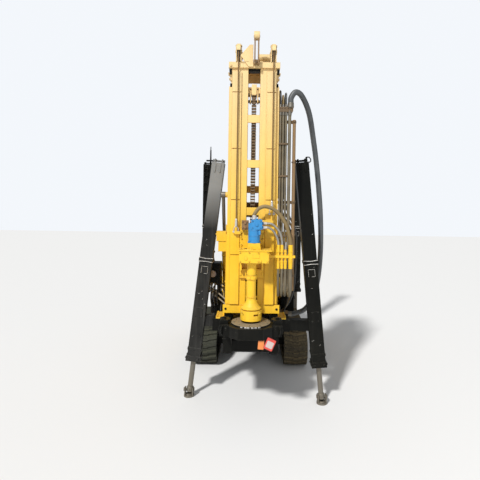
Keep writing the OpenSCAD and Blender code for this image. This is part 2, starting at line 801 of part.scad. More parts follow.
// Guide for the spindle at the mast's foot, with a slot for a spanner
module guide_cup() {
    cup_r = 110;
    bore_r = spindle_d / 2 + 24;
    color(yellow) difference() {
        union() {
            translate([0, drill_y, mast_z0 - 20]) cylinder(r = cup_r, h = 103);
            block([-105, drill_y, mast_z0 + 19], [105, mast_front, mast_z0 + 70]);
            block([-cup_r, drill_y - 10, mast_z0 - 20], [cup_r, drill_y + 40, mast_z0 + 83]);
        }
        translate([0, drill_y, mast_z0 - 30]) cylinder(r = bore_r, h = 200);
        block([28, drill_y - cup_r - 1, mast_z0 + 34], [74, drill_y - 30, mast_z0 + 52]);
    }
}

// Rusty steel pipe at the mast's right side, its clamp arm and its brackets
module hose_stand() {
    pipe_y = mast_front + 78;
    pipe_d = 36;
    color("#9a7a62") {
        block([mast_side, mast_front + 30, clamp_z - 20], [426, mast_front + 80, clamp_z + 14]);
        for (z = [1500, 2300, 3180])
            block([mast_side, mast_front + 66, z], [445, mast_front + 90, z + 34]);
        translate([445, pipe_y, 1350]) cylinder(d = pipe_d, h = 1870);
    }
}

// Hoist ropes, from the head over the crown and down to the winch
module hoist_ropes() {
    color(steel) for (i = [0, 1]) {
        x = rope_x[i];
        translate([x, rope_y, rope_end[i]]) cylinder(d = rope_d, h = sheave_z - rope_end[i]);
        bar_y(sheave_y[0], sheave_y[1], x, sheave_z + sheave_r, rope_d);
        translate([x, rope_back_y, winch_at[1]]) cylinder(d = rope_d, h = sheave_z - winch_at[1]);
    }
}

// Sliding plate with claws behind the guide rails' lips
module carriage() {
    half = 130;
    back = mast_front - 1;
    top = 2020;
    claw = guide_x + guide_lip - slide_gap;
    color(yellow) {
        block([-half, plate_front, 1500], [half, back, top]);
        for (z = [1510, 1880]) block([-claw, mast_front - guide_web_t + slide_gap, z], [claw, back, z + 130]);
        for (x = [-124, 104]) block([x, drill_y + 60, 1590], [x + 20, plate_front, 1688]);
        block([-112, plate_front - 26, 1586], [112, plate_front, 1600]);
        block([rope_x[0] - 18, rope_y - 16, 1970], [-120, rope_y + 20, 2000]);
        block([90, plate_front - 8, 1990], [124, back, 2122]);
        block([104, rope_y - 16, 2092], [rope_x[1] + 18, rope_y + 20, 2122]);
    }
    color(steel) {
        translate([rope_x[0], rope_y, 1990]) cylinder(d = 20, h = rope_end[0] - rod_gap - 1990);
        translate([rope_x[1], rope_y, 2110]) cylinder(d = 20, h = rope_end[1] - rod_gap - 2110);
    }
}

// Block of rope clamps on the carriage's top edge
module rope_lug() {
    color("#7a5a48") {
        block([-112, plate_front - 60, 2020], [-38, mast_front - 6, 2118]);
        for (z = [2045, 2090]) bar_y(plate_front - 72, plate_front - 59, -75, z, 24);
    }
}

// Box with the gears that turn the spindle, and the motor's foot on it
gearbox_z = 1690;
gearbox_x = 22;
module gearbox() {
    x0 = gearbox_x - gearbox_w / 2;
    x1 = gearbox_x + gearbox_w / 2;
    z1 = gearbox_z + gearbox_h;
    color(yellow) difference() {
        union() {
            block([x0, drill_y - 110, gearbox_z], [x1, plate_front, z1 - 14]);
            block([x0 - 6, drill_y - 116, z1 - 14], [x1 + 34, plate_front, z1]);
            translate([motor_x, drill_y, z1 - 1]) rotate([90, 0, 0]) translate([0, 0, -62])
                linear_extrude(124) polygon([[-72, 0], [72, 0], [62, 67], [-62, 67]]);
        }
        translate([0, drill_y, gearbox_z - 1]) cylinder(d = spindle_d + 2 * rod_gap, h = 61);
    }
}

// Blue motor on the gearbox, with its port block
motor_x = 21;
motor_top = 2129;
module rotary_motor() {
    z = gearbox_z + gearbox_h + 66;
    block_x = 46;
    color(blue) {
        translate([motor_x, drill_y, z]) cylinder(d = motor_d, h = 205);
        translate([motor_x, drill_y, z]) cylinder(d = motor_d + 10, h = 16);
        block([block_x - 57, drill_y - 60, motor_top - 101], [block_x + 57, drill_y + 60, motor_top]);
        for (z = [2050, 2090]) bar_x(block_x + 56, block_x + 70, z > 2070 ? -1640 : -1680, z, 34);
    }
}

// Bar with pipe fittings at the head's right
fitting_x = [276, 313, 350, 403];
fitting_d = [24, 24, 24, 46];
module hose_bracket() {
    y = drill_y + 10;
    color(yellow) {
        block([gearbox_x + gearbox_w / 2, y - 20, 1736], [450, y + 20, 1762]);
        block([gearbox_x + gearbox_w / 2, y - 34, 1706], [gearbox_x + gearbox_w / 2 + 14, y + 34, 1792]);
        for (i = [0:3]) {
            translate([fitting_x[i], y, 1762]) cylinder(d = fitting_d[i], h = 30);
            translate([fitting_x[i], y, 1706]) cylinder(d = fitting_d[i], h = 30);
            translate([fitting_x[i], y, 1722]) cylinder(d = fitting_d[i] + 8, h = 54, $fn = 6);
        }
    }
}

socket_r = 30;

// Turning spindle with a flared adapter at its lower end
module spindle() {
    r = spindle_d / 2;
    z0 = 1208;
    color(yellow) translate([0, drill_y, 0]) rotate_extrude() polygon([
        [socket_r, z0], [104, z0], [104, z0 + 10], [84, z0 + 28], [62, z0 + 58], [r + 3, z0 + 92],
        [r + 3, 1326], [r + 6, 1326], [r + 6, 1336], [r, 1336], [r, 1510], [r + 7, 1510],
        [r + 7, 1556], [r, 1556], [r, 1668], [r + 9, 1668], [r + 9, 1684], [r, 1684], [r, 1750],
        [spindle_bore / 2, 1750], [spindle_bore / 2, z0 + 75], [socket_r, z0 + 75]
    ]);
}

// Angle of a leg from the vertical, positive when its top leans to +X
function leg_lean(leg) = atan2(leg[LEG_TOP_X] - leg[LEG_FOOT_X], leg[LEG_Z1]);

// Moves a shape into a leg's own line, with its foot point at the ground
module along_leg(leg) {
    translate([leg[LEG_FOOT_X], leg[LEG_Y], 0]) rotate([0, leg_lean(leg), 0]) children();
}

// Square leg tube with its rod guide and its sliding beam
module leg_tube(leg) {
    half = leg_w / 2;
    hollow = half - leg_wall;
    lean = leg_lean(leg);
    s0 = leg[LEG_Z0] / cos(lean);
    s1 = leg[LEG_Z1] / cos(lean);
    beam_w2 = cross_w - 2 * cross_wall - 2 * slide_gap;
    beam_h2 = cross_h - 2 * cross_wall - 2 * slide_gap;
    leg_x = leg[LEG_FOOT_X] + tan(lean) * cross_z;
    inner_end = leg[LEG_OUT] * -300;
    color(black) difference() {
        union() {
            along_leg(leg) {
                translate([-half, -half, s0]) cube([leg_w, leg_w, s1 - s0]);
                leg_band(s0, 60, 12);
                leg_band(s0 + 132, 26, 6);
                leg_band(s0 + 1185, 34, 6);
                translate([-38, -half - 8, s0 + 1040]) cube([76, 10, 86]);
                for (x = [-50, 34]) translate([x, -34, s1 - 1]) cube([16, 68, 46]);
                translate([-60, 0, s1 + 24]) rotate([0, 90, 0]) cylinder(d = 24, h = 120);
            }
            block([min(leg_x, inner_end), leg[LEG_Y] - beam_w2 / 2, cross_z - beam_h2 / 2],
                  [max(leg_x, inner_end), leg[LEG_Y] + beam_w2 / 2, cross_z + beam_h2 / 2]);
        }
        along_leg(leg) {
            translate([-hollow, -hollow, s0 + 60]) cube([2 * hollow, 2 * hollow, s1 - s0 - 70]);
            translate([0, 0, s0 - 1]) cylinder(d = rod_d + 2 * slide_gap, h = 70);
        }
    }
}

// Band round a leg tube
module leg_band(s, h, t) {
    translate([-leg_w / 2 - t, -leg_w / 2 - t, s]) cube([leg_w + 2 * t, leg_w + 2 * t, h]);
}

// Rod of a leg jack with its fork and its flat foot
module jack(leg) {
    lean = leg_lean(leg);
    s0 = leg[LEG_Z0] / cos(lean);
    color(steel) {
        translate([leg[LEG_FOOT_X], leg[LEG_Y], 0]) {
            cylinder(r = foot_r, h = 22);
            for (x = [-52, 38]) translate([x, -36, 10]) cube([14, 72, 92]);
            translate([-58, 0, 80]) rotate([0, 90, 0]) cylinder(d = 28, h = 116);
        }
        along_leg(leg) translate([0, 0, 58]) cylinder(d = rod_d, h = s0 + rod_inside - 58);
    }
}

// Turns a shape from +Z onto the line from the base pin to the rod eye
lift_l = norm(lift_eye - lift_base);
lift_lean = atan2(lift_base[0] - lift_eye[0], lift_eye[1] - lift_base[1]);
barrel_l = 900;
module along_lift(side) {
    translate([side * lift_x, lift_base[0], lift_base[1]]) rotate([lift_lean, 0, 0]) children();
}

module lift_barrel(side) {
    color(yellow) along_lift(side) difference() {
        union() {
            cylinder(r = eye_w / 2 - 1, h = 90);
            translate([0, 0, 80]) cylinder(r = lift_r, h = barrel_l - 80);
            translate([0, 0, barrel_l - 60]) cylinder(r = lift_r + 0.5, h = 60);
            rotate([0, 90, 0]) translate([0, 0, -eye_w / 2]) cylinder(r = 45, h = eye_w);
        }
        translate([0, 0, 100]) cylinder(d = 40 + 2 * rod_gap, h = barrel_l);
        bar_x(-60, 60, 0, 0, lift_pin_d + 2 * rod_gap);
    }
}

module lift_rod(side) {
    color(steel) along_lift(side) {
        translate([0, 0, lift_l - 790]) cylinder(d = 40, h = 770);
        translate([0, 0, lift_l]) rotate([0, 90, 0])
            translate([0, 0, -eye_w / 2]) cylinder(r = 34, h = eye_w);
    }
}

// Route of the air hose, from the deck to the mast's clamp
AIR_ROUTE = [
    [470.5, -660, 900], [500, -660, 900], [530, -660, 900], [680, -700, 970], [770, -800, 1150],
    [815, -890, 1400], [830, -960, 1750], [815, -1010, 2150], [785, -1030, 2500], [750, -1045, 2800],
    [705, -1110, 3040], [625, -1290, 3320], [530, -1410, 3480], [455, -1450, 3520], [405, -1455, 3460],
    [400, -1455, 3405], [400, -1455, 3352]
];
module air_hose() {
    color(rubber) sweep(smooth_route(AIR_ROUTE, 3), 31, 10);
}

// Four hoses that hang from the head and rise to the clamp, each in its own plane
loop_z = 1420;
loop_r = 95;
hose_y0 = drill_y + 10;
rise_x = [290, 321, 352, 390];
hose_r = [12, 12, 12, 18];

// Route of one hose as [share of the way across, y, z]
hose_route = concat(
    [for (z = [1706, 1600, 1500, 1450]) [0, hose_y0, z]],
    [for (a = [0:30:180])
        [(1 - cos(a)) / 2, hose_y0 + loop_r - loop_r * cos(a), loop_z - loop_r * sin(a)]],
    [for (z = [1450, 1600, 2000, 2600, 3200, clamp_z - 20]) [1, hose_y0 + 2 * loop_r, z]]
);
module head_hoses() {
    color(rubber) for (i = [0:3])
        sweep([for (p = hose_route) [fitting_x[i] + (rise_x[i] - fitting_x[i]) * p[0], p[1], p[2]]],
              hose_r[i], 8);
}

// Two thin hoses from the motor's port block and a thick one in an arc over them
MOTOR_ROUTE = [
    [116, -1640, 2090], [136, -1640, 2090], [160, -1640, 2090], [215, -1645, 2080], [285, -1650, 2005],
    [313, -1650, 1905], [313, -1650, 1840], [313, -1650, 1792]
];
MOTOR_ROUTE_2 = [
    [116, -1680, 2050], [136, -1680, 2050], [165, -1680, 2050], [215, -1672, 2020], [262, -1655, 1940],
    [276, -1650, 1870], [276, -1650, 1830], [276, -1650, 1792]
];
ARC_ROUTE = [
    [20, -1622, 2129.5], [20, -1622, 2155], [20, -1622, 2180], [70, -1618, 2248], [150, -1622, 2266],
    [255, -1632, 2215], [345, -1643, 2095], [392, -1650, 1950], [403, -1650, 1870], [403, -1650, 1830],
    [403, -1650, 1792]
];
module motor_hoses() {
    color(rubber) {
        sweep(smooth_route(MOTOR_ROUTE, 3), 12, 8);
        sweep(smooth_route(MOTOR_ROUTE_2, 3), 12, 8);
        sweep(smooth_route(ARC_ROUTE, 3), 20, 8);
    }
}

track_loop(-1);  // track_left
track_loop(1);  // track_right
track_frame(-1);  // track_frame_left
track_frame(1);  // track_frame_right
car_body();
chassis();
deck_plate();  // deck
drill_table();
cross_tubes();
mast_stand();
mast_rest();
engine_block();
bonnet();
side_door(-1);  // door_left
side_door(1);  // door_right
radiator();
exhaust();
hydraulic_tank();
fuel_tank();
control_console();
valve_bank();
tool_box();
air_manifold();
mast_columns();
mast_foot();
mast_crown();
crown_sheaves();
jib();
winch();
feed_chain();
chain_yoke();
guide_cup();
hose_stand();
hoist_ropes();
carriage();
rope_lug();
gearbox();
rotary_motor();
hose_bracket();
spindle();
leg_tube(LEGS[0]);  // leg_near_left
leg_tube(LEGS[1]);  // leg_near_right
leg_tube(LEGS[2]);  // leg_far_left
leg_tube(LEGS[3]);  // leg_far_right
jack(LEGS[0]);  // jack_near_left
jack(LEGS[1]);  // jack_near_right
jack(LEGS[2]);  // jack_far_left
jack(LEGS[3]);  // jack_far_right
lift_barrel(-1);  // lift_barrel_left
lift_barrel(1);  // lift_barrel_right
lift_rod(-1);  // lift_rod_left
lift_rod(1);  // lift_rod_right
air_hose();
head_hoses();
motor_hoses();
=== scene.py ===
# Finishes, hoses, ropes, chain, tracks and small fittings for a compact crawler drilling rig
import json
import math
import random
from itertools import product

import bmesh
import bpy
from mathutils import Matrix, Vector

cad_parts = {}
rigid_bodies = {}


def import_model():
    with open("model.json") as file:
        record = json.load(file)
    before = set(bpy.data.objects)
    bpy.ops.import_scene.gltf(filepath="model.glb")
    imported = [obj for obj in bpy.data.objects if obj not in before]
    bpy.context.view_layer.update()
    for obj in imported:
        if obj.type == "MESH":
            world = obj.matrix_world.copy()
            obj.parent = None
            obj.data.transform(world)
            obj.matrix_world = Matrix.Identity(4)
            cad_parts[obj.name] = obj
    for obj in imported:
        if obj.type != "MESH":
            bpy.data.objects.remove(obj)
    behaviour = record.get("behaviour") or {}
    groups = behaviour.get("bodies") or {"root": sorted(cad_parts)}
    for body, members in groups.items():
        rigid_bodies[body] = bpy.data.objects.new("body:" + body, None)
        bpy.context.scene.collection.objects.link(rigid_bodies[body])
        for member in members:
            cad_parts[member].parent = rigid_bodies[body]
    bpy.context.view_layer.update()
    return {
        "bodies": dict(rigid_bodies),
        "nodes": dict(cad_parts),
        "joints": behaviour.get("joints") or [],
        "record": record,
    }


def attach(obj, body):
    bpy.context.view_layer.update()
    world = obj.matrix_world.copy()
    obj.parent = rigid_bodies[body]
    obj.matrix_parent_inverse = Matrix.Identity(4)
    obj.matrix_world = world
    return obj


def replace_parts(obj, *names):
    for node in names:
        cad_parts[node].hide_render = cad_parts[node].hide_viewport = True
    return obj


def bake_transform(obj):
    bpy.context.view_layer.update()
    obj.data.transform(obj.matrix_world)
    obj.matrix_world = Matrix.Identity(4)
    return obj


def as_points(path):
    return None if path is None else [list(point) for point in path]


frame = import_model()
nodes = frame["nodes"]
slotOf = {part["node"]: part["material_slot"] for part in frame["record"]["subparts"]}
chance = random.Random(11)
print("frame loaded")

# Camera as the photo has it: level, at the mast end, 2.25 m up
camera = {
    "distance": 4.82,
    "legPlaneY": -1.1,
    "height": 2.25,
    "focalPixels": 410,
    "horizonPixel": 208,
    "middlePixel": 252.5,
    "framePixels": 480,
    "rollDegrees": 0.85,
    "sensor": 36,
}


def addObject(name, data):
    item = bpy.data.objects.new(name, data)
    bpy.context.scene.collection.objects.link(item)
    return item


def addCamera(c):
    data = bpy.data.cameras.new("camera")
    data.sensor_width = c["sensor"]
    data.lens = c["focalPixels"] / c["framePixels"] * c["sensor"]
    data.shift_x = (c["framePixels"] / 2 - c["middlePixel"]) / c["framePixels"]
    data.shift_y = (c["horizonPixel"] - c["framePixels"] / 2) / c["framePixels"]
    data.clip_end = 200
    item = addObject("camera", data)
    item.location = (0, c["legPlaneY"] - c["distance"], c["height"])
    item.rotation_euler = (math.radians(90), -math.radians(c["rollDegrees"]), 0)
    bpy.context.scene.camera = item


addCamera(camera)
bpy.context.scene.view_settings.view_transform = "Standard"

# Floor and light
studio = {
    "floorSize": 60,
    "floorColor": (0.80, 0.79, 0.77, 1),
    "skyColor": (0.90, 0.93, 0.97, 1),
    "skyLight": 0.42,
    "sunPower": 3.5,
    "sunAngle": 5,
    "sunTurn": (48, 0, -28),
    "fillPower": 40,
    "fillPlace": (3.5, -6.0, 3.2),
    "fillAim": (0, -1, 1.6),
    "fillSize": 4,
}


def addStudio(s):
    world = bpy.data.worlds.new("world")
    bpy.context.scene.world = world
    world.use_nodes = True
    tree = world.node_tree
    tree.nodes.clear()
    mix = tree.nodes.new("ShaderNodeMixShader")
    for i, strength in ((1, s["skyLight"]), (2, 1)):  # what lights the rig, and what the camera sees
        sky = tree.nodes.new("ShaderNodeBackground")
        sky.inputs["Color"].default_value = s["skyColor"]
        sky.inputs["Strength"].default_value = strength
        tree.links.new(sky.outputs[0], mix.inputs[i])
    tree.links.new(tree.nodes.new("ShaderNodeLightPath").outputs["Is Camera Ray"], mix.inputs["Fac"])
    tree.links.new(mix.outputs[0], tree.nodes.new("ShaderNodeOutputWorld").inputs["Surface"])
    sun = bpy.data.lights.new("sun", "SUN")
    sun.energy = s["sunPower"]
    sun.angle = math.radians(s["sunAngle"])
    addObject("sun", sun).rotation_euler = [math.radians(a) for a in s["sunTurn"]]
    fill = bpy.data.lights.new("fill", "AREA")
    fill.energy = s["fillPower"]
    fill.size = s["fillSize"]
    item = addObject("fill", fill)
    item.location = s["fillPlace"]
    item.rotation_euler = (Vector(s["fillAim"]) - Vector(s["fillPlace"])).to_track_quat("-Z", "Y").to_euler()
    bm = bmesh.new()
    bmesh.ops.create_grid(bm, x_segments=1, y_segments=1, size=s["floorSize"] / 2)
    mesh = bpy.data.meshes.new("floor")
    bm.to_mesh(mesh)
    bm.free()
    paint = bpy.data.materials.new("floorPaint")
    paint.use_nodes = True
    shader = paint.node_tree.nodes["Principled BSDF"]
    shader.inputs["Base Color"].default_value = s["floorColor"]
    shader.inputs["Roughness"].default_value = 0.9
    mesh.materials.append(paint)
    addObject("floor", mesh)


addStudio(studio)
print("camera and studio")


# Small helpers for node trees
class Nodes:
    def __init__(self, tree):
        self.tree = tree

    def add(self, kind, settings=None, **inputs):
        item = self.tree.nodes.new("ShaderNode" + kind)
        for key, value in (settings or {}).items():
            setattr(item, key, value)
        for key, value in inputs.items():
            numbered = key[0] == "i" and key[1:].isdigit()
            self.put(item.inputs[int(key[1:]) if numbered else key.replace("_", " ")], value)
        return item

    def put(self, socket, value):
        if isinstance(value, bpy.types.NodeSocket):
            self.tree.links.new(value, socket)
        else:
            socket.default_value = value

    def math(self, operation, a, b=0.0, clamp=False):
        return self.add("Math", {"operation": operation, "use_clamp": clamp}, i0=a, i1=b).outputs[0]

    def ramp(self, value, low, high):
        return self.add("MapRange", Value=value, From_Min=low, From_Max=high).outputs["Result"]

    def mix(self, fac, a, b):
        return self.add("Mix", {"data_type": "RGBA"}, i0=fac, i6=a, i7=b).outputs[2]

    def noise(self, vector, scale, detail=4.0, rough=0.6):
        return self.add("TexNoise", Vector=vector, Scale=scale, Detail=detail, Roughness=rough).outputs["Fac"]

    def z(self, vector):
        return self.add("SeparateXYZ", Vector=vector).outputs["Z"]


weatherInputs = [
    ("Color", "NodeSocketColor", (0.8, 0.5, 0.05, 1)),
    ("Worn Color", "NodeSocketColor", (0.16, 0.07, 0.03, 1)),
    ("Dust Color", "NodeSocketColor", (0.42, 0.36, 0.28, 1)),
    ("Wear", "NodeSocketFloat", 0.5),
    ("Dust", "NodeSocketFloat", 0.4),
    ("Streaks", "NodeSocketFloat", 0.3),
    ("Gloss", "NodeSocketFloat", 0.45),
    ("Edge", "NodeSocketFloat", 0.006),
]


# Weather on painted and bare metal: streaks, chipped edges, rust and settled dust
def makeWeather(ins):
    tree = bpy.data.node_groups.new("weather", "ShaderNodeTree")
    for label, kind, value in ins:
        tree.interface.new_socket(label, in_out="INPUT", socket_type=kind).default_value = value
    for label, kind in (("Color", "Color"), ("Roughness", "Float"), ("Height", "Float"), ("Normal", "Vector")):
        tree.interface.new_socket(label, in_out="OUTPUT", socket_type="NodeSocket" + kind)
    inside, out = tree.nodes.new("NodeGroupInput").outputs, tree.nodes.new("NodeGroupOutput").inputs
    n = Nodes(tree)
    place = n.add("TexCoord").outputs["Object"]
    normal = n.add("NewGeometry").outputs["Normal"]
    rounded = n.add("Bevel", {"samples": 4}, Radius=inside["Edge"]).outputs[0]
    same = n.add("VectorMath", {"operation": "DOT_PRODUCT"}, i0=rounded, i1=normal).outputs["Value"]
    coarse = n.noise(place, 5, 5)
    fine = n.noise(place, 42, 6, 0.7)
    chipped = n.math("MULTIPLY", n.ramp(same, 0.995, 0.80), n.ramp(fine, 0.42, 0.62))
    spots = n.math("MULTIPLY", n.ramp(fine, 0.66, 0.72), n.ramp(coarse, 0.45, 0.70))
    worn = n.math("MULTIPLY", n.math("ADD", chipped, spots, True), inside["Wear"], True)
    tall = n.add("Mapping", Vector=place, Scale=(26, 26, 1.1)).outputs["Vector"]
    streak = n.math("MULTIPLY", n.ramp(n.noise(tall, 1, 4, 0.65), 0.50, 0.78), inside["Streaks"])
    lying = n.math("MULTIPLY", n.ramp(n.z(normal), 0.25, 0.95), n.ramp(fine, 0.25, 0.60))
    film = n.math("MULTIPLY", n.ramp(coarse, 0.40, 0.75), 0.30)
    low = n.math("MULTIPLY", n.ramp(n.z(place), 1.1, 0.0), n.ramp(fine, 0.30, 0.62))
    dusty = n.math("ADD", n.math("ADD", lying, film), n.math("MULTIPLY", low, 0.6))
    dusty = n.math("MULTIPLY", dusty, inside["Dust"], True)
    light = n.add("MapRange", Value=coarse, From_Min=0.2, From_Max=0.8, To_Min=0.90, To_Max=1.08)
    body = n.add("HueSaturation", Color=inside["Color"], Value=light.outputs["Result"]).outputs["Color"]
    for share, color in ((streak, "Worn Color"), (worn, "Worn Color"), (dusty, "Dust Color")):
        body = n.mix(share, body, inside[color])
    rough = n.math("ADD", inside["Gloss"], n.math("MULTIPLY", fine, 0.18))
    rough = n.math("ADD", rough, n.math("MULTIPLY", n.math("MAXIMUM", dusty, worn), 0.30), True)
    tiny = n.math("MULTIPLY", n.noise(place, 190, 3), 0.25)
    for label, value in (("Color", body), ("Roughness", rough), ("Normal", rounded),
                         ("Height", n.math("SUBTRACT", tiny, n.math("MULTIPLY", worn, 0.6)))):
        n.put(out[label], value)
    return tree


weather = makeWeather(weatherInputs)


# One finish is a Principled shader fed by the weather group
def makeFinish(name, f):
    material = bpy.data.materials.new(name)
    material.use_nodes = True
    n = Nodes(material.node_tree)
    group = material.node_tree.nodes.new("ShaderNodeGroup")
    group.node_tree = weather
    for key, value in f.items():
        if key in ("worn", "dustColor"):
            group.inputs[{"worn": "Worn Color", "dustColor": "Dust Color"}[key]].default_value = (*value, 1)
        elif key in ("wear", "dust", "streaks", "gloss", "edge"):
            group.inputs[key.title()].default_value = value
    color = (*f["color"], 1)
    # Paler towards the top between two heights; on the yellow paint this is painted haze
    if "fade" in f:
        place = n.add("TexCoord").outputs["Object"]
        color = n.mix(n.ramp(n.z(place), *f["fadeHeights"]), color, (*f["fade"], 1))
    n.put(group.inputs["Color"], color)
    shader = material.node_tree.nodes["Principled BSDF"].inputs
    shader["Metallic"].default_value = f.get("metal", 0)
    shader["Specular IOR Level"].default_value = f.get("shine", 0.5)
    n.put(shader["Base Color"], group.outputs["Color"])
    n.put(shader["Roughness"], group.outputs["Roughness"])
    bump = n.add("Bump", Height=group.outputs["Height"], Strength=0.12, Distance=0.002,
                 Normal=group.outputs["Normal"])
    n.put(shader["Normal"], bump.outputs["Normal"])
    return material


# What a finish leaves out is as in weatherInputs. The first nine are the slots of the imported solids
finishes = {
    # The yellow turns paler towards the mast's top: painted haze
    "yellow_paint": {"color": (0.84, 0.5, 0.014), "fade": (0.8, 0.58, 0.27), "fadeHeights": (1.9, 3.6),
                     "worn": (0.25, 0.11, 0.04), "wear": 0.75, "dust": 0.3, "streaks": 0.22, "gloss": 0.38,
                     "dustColor": (0.5, 0.36, 0.16)},
    # Black paint, darker than the paint's own black so the parts under the table read as deep shade: partly
    # painted shade
    "black_paint": {"color": (0.0035, 0.0038, 0.003), "worn": (0.1, 0.095, 0.08), "wear": 0.75, "dust": 0.11,
                    "streaks": 0.05, "gloss": 0.32, "shine": 0.12, "dustColor": (0.1, 0.085, 0.058)},
    "blue_paint": {"color": (0.02, 0.22, 0.5), "worn": (0.1, 0.1, 0.11), "wear": 0.4, "dust": 0.15,
                   "streaks": 0.1, "gloss": 0.32},
    "engine_grey": {"color": (0.03, 0.031, 0.031), "wear": 0.4, "gloss": 0.5, "shine": 0.3,
                    "dustColor": (0.16, 0.13, 0.09)},
    "bare_steel": {"color": (0.2, 0.185, 0.155), "metal": 0.7, "wear": 0.6, "streaks": 0.35, "gloss": 0.38,
                   "worn": (0.13, 0.075, 0.04), "dustColor": (0.22, 0.18, 0.12)},
    "rusty_steel": {"color": (0.24, 0.145, 0.065), "metal": 0.1, "wear": 0.8, "streaks": 0.6, "gloss": 0.62,
                    "worn": (0.34, 0.13, 0.04), "dustColor": (0.4, 0.3, 0.17)},
    "wire_rope": {"color": (0.19, 0.105, 0.035), "metal": 0.2, "wear": 0.3, "streaks": 0.2, "gloss": 0.5,
                  "edge": 0.001, "dustColor": (0.38, 0.24, 0.1)},
    "rubber": {"color": (0.018, 0.017, 0.014), "worn": (0.07, 0.065, 0.05), "wear": 0.6, "dust": 0.85,
               "streaks": 0.25, "gloss": 0.62, "shine": 0.3, "dustColor": (0.2, 0.155, 0.085)},
    "hose_rubber": {"color": (0.12, 0.1, 0.065), "worn": (0.26, 0.21, 0.13), "wear": 0.4, "dust": 0.9,
                    "streaks": 0.45, "edge": 0.001, "dustColor": (0.4, 0.32, 0.19)},
    # Near-left leg's black, paler towards its top
    "dustyBlack": {"color": (0.005, 0.005, 0.004), "fade": (0.23, 0.23, 0.22), "fadeHeights": (2, 2.5),
                   "worn": (0.1, 0.095, 0.085), "wear": 0.8, "dust": 0.12, "shine": 0.3,
                   "dustColor": (0.26, 0.25, 0.22)},
    # Grey hose: its cool grey tone and grey dust stand partly for a sky reflection, painted reflection
    "greyHose": {"color": (0.06, 0.066, 0.07), "wear": 0.3, "dust": 0.6, "gloss": 0.36, "edge": 0.001,
                 "worn": (0.14, 0.13, 0.12), "dustColor": (0.22, 0.22, 0.21)},
    "oldHose": {"color": (0.19, 0.13, 0.05), "wear": 0.3, "dust": 0.5, "streaks": 0.4, "gloss": 0.5,
                "edge": 0.001, "worn": (0.09, 0.07, 0.04), "dustColor": (0.38, 0.28, 0.13)},
    "blackHose": {"color": (0.01, 0.01, 0.009), "wear": 0.3, "dust": 0.35, "streaks": 0.2, "gloss": 0.35,
                  "edge": 0.001, "worn": (0.05, 0.045, 0.04), "dustColor": (0.16, 0.13, 0.08)},
    "paleHose": {"color": (0.36, 0.32, 0.24), "wear": 0.3, "streaks": 0.4, "gloss": 0.4, "edge": 0.001,
                 "worn": (0.12, 0.1, 0.07), "dustColor": (0.44, 0.37, 0.25)},
    "silverHose": {"color": (0.3, 0.29, 0.26), "metal": 0.3, "wear": 0.3, "streaks": 0.4, "gloss": 0.35,
                   "edge": 0.001, "worn": (0.12, 0.1, 0.07), "dustColor": (0.36, 0.31, 0.22)},
    "paleSteel": {"color": (0.62, 0.6, 0.56), "metal": 0.6, "wear": 0.4, "dust": 0.2, "streaks": 0.2,
                  "gloss": 0.35, "worn": (0.2, 0.12, 0.06)},
    "chainBrown": {"color": (0.13, 0.085, 0.045), "metal": 0.3, "dust": 0.6, "streaks": 0.5, "edge": 0.001,
                   "worn": (0.2, 0.12, 0.06), "dustColor": (0.36, 0.26, 0.15)},
    "wornPlate": {"color": (0.21, 0.165, 0.1), "metal": 0.2, "wear": 0.7, "dust": 0.6, "streaks": 0.1,
                  "gloss": 0.5, "worn": (0.1, 0.07, 0.04), "dustColor": (0.32, 0.25, 0.15)},
    # A darker copy of the rubber and its dust, for the left track: painted shade
    "darkTrack": {"color": (0.014, 0.015, 0.01), "worn": (0.05, 0.05, 0.035), "wear": 0.6, "dust": 0.45,
                  "streaks": 0.25, "gloss": 0.6, "shine": 0.3, "dustColor": (0.085, 0.085, 0.055)},
}
for name, color in (("redCard", (0.62, 0.055, 0.04)), ("whiteCard", (0.52, 0.42, 0.39)),
                    ("orangeCard", (0.72, 0.22, 0.05))):
    finishes[name] = {"color": color, "wear": 0.2, "dust": 0.2, "streaks": 0.1, "gloss": 0.4}
finish = {name: makeFinish(name, values) for name, values in finishes.items()}
ownFinish = {"leg_near_left": "dustyBlack"}

for name, item in nodes.items():
    item.data.materials.clear()
    item.data.materials.append(finish[ownFinish.get(name, slotOf[name])])
print("finishes on the packed nodes")


# Places a finished mesh as a piece of the rig
def addPiece(name, mesh, slot, body=None, paint=None):
    mesh.materials.clear()
    mesh.materials.append(finish[paint or slot])
    item = addObject(name, mesh)
    if body:
        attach(item, body)
    return item


frontWay, backWay, upWay, downWay, outWay = (0, -1, 0), (0, 1, 0), (0, 0, 1), (0, 0, -1), (1, 0, 0)


def turnTo(axis):
    return Vector(axis).to_track_quat("Z", "Y").to_matrix().to_4x4()


# Points on a circle, with angles in degrees
def circle(radius, start, end, steps):
    angles = [math.radians(start + (end - start) * i / steps) for i in range(steps + 1)]
    return [(radius * math.cos(a), radius * math.sin(a)) for a in angles]


# Every place at these x, y and z values, each one value or several
def grid(*values):
    return product(*(v if isinstance(v, (tuple, list)) else (v,) for v in values))


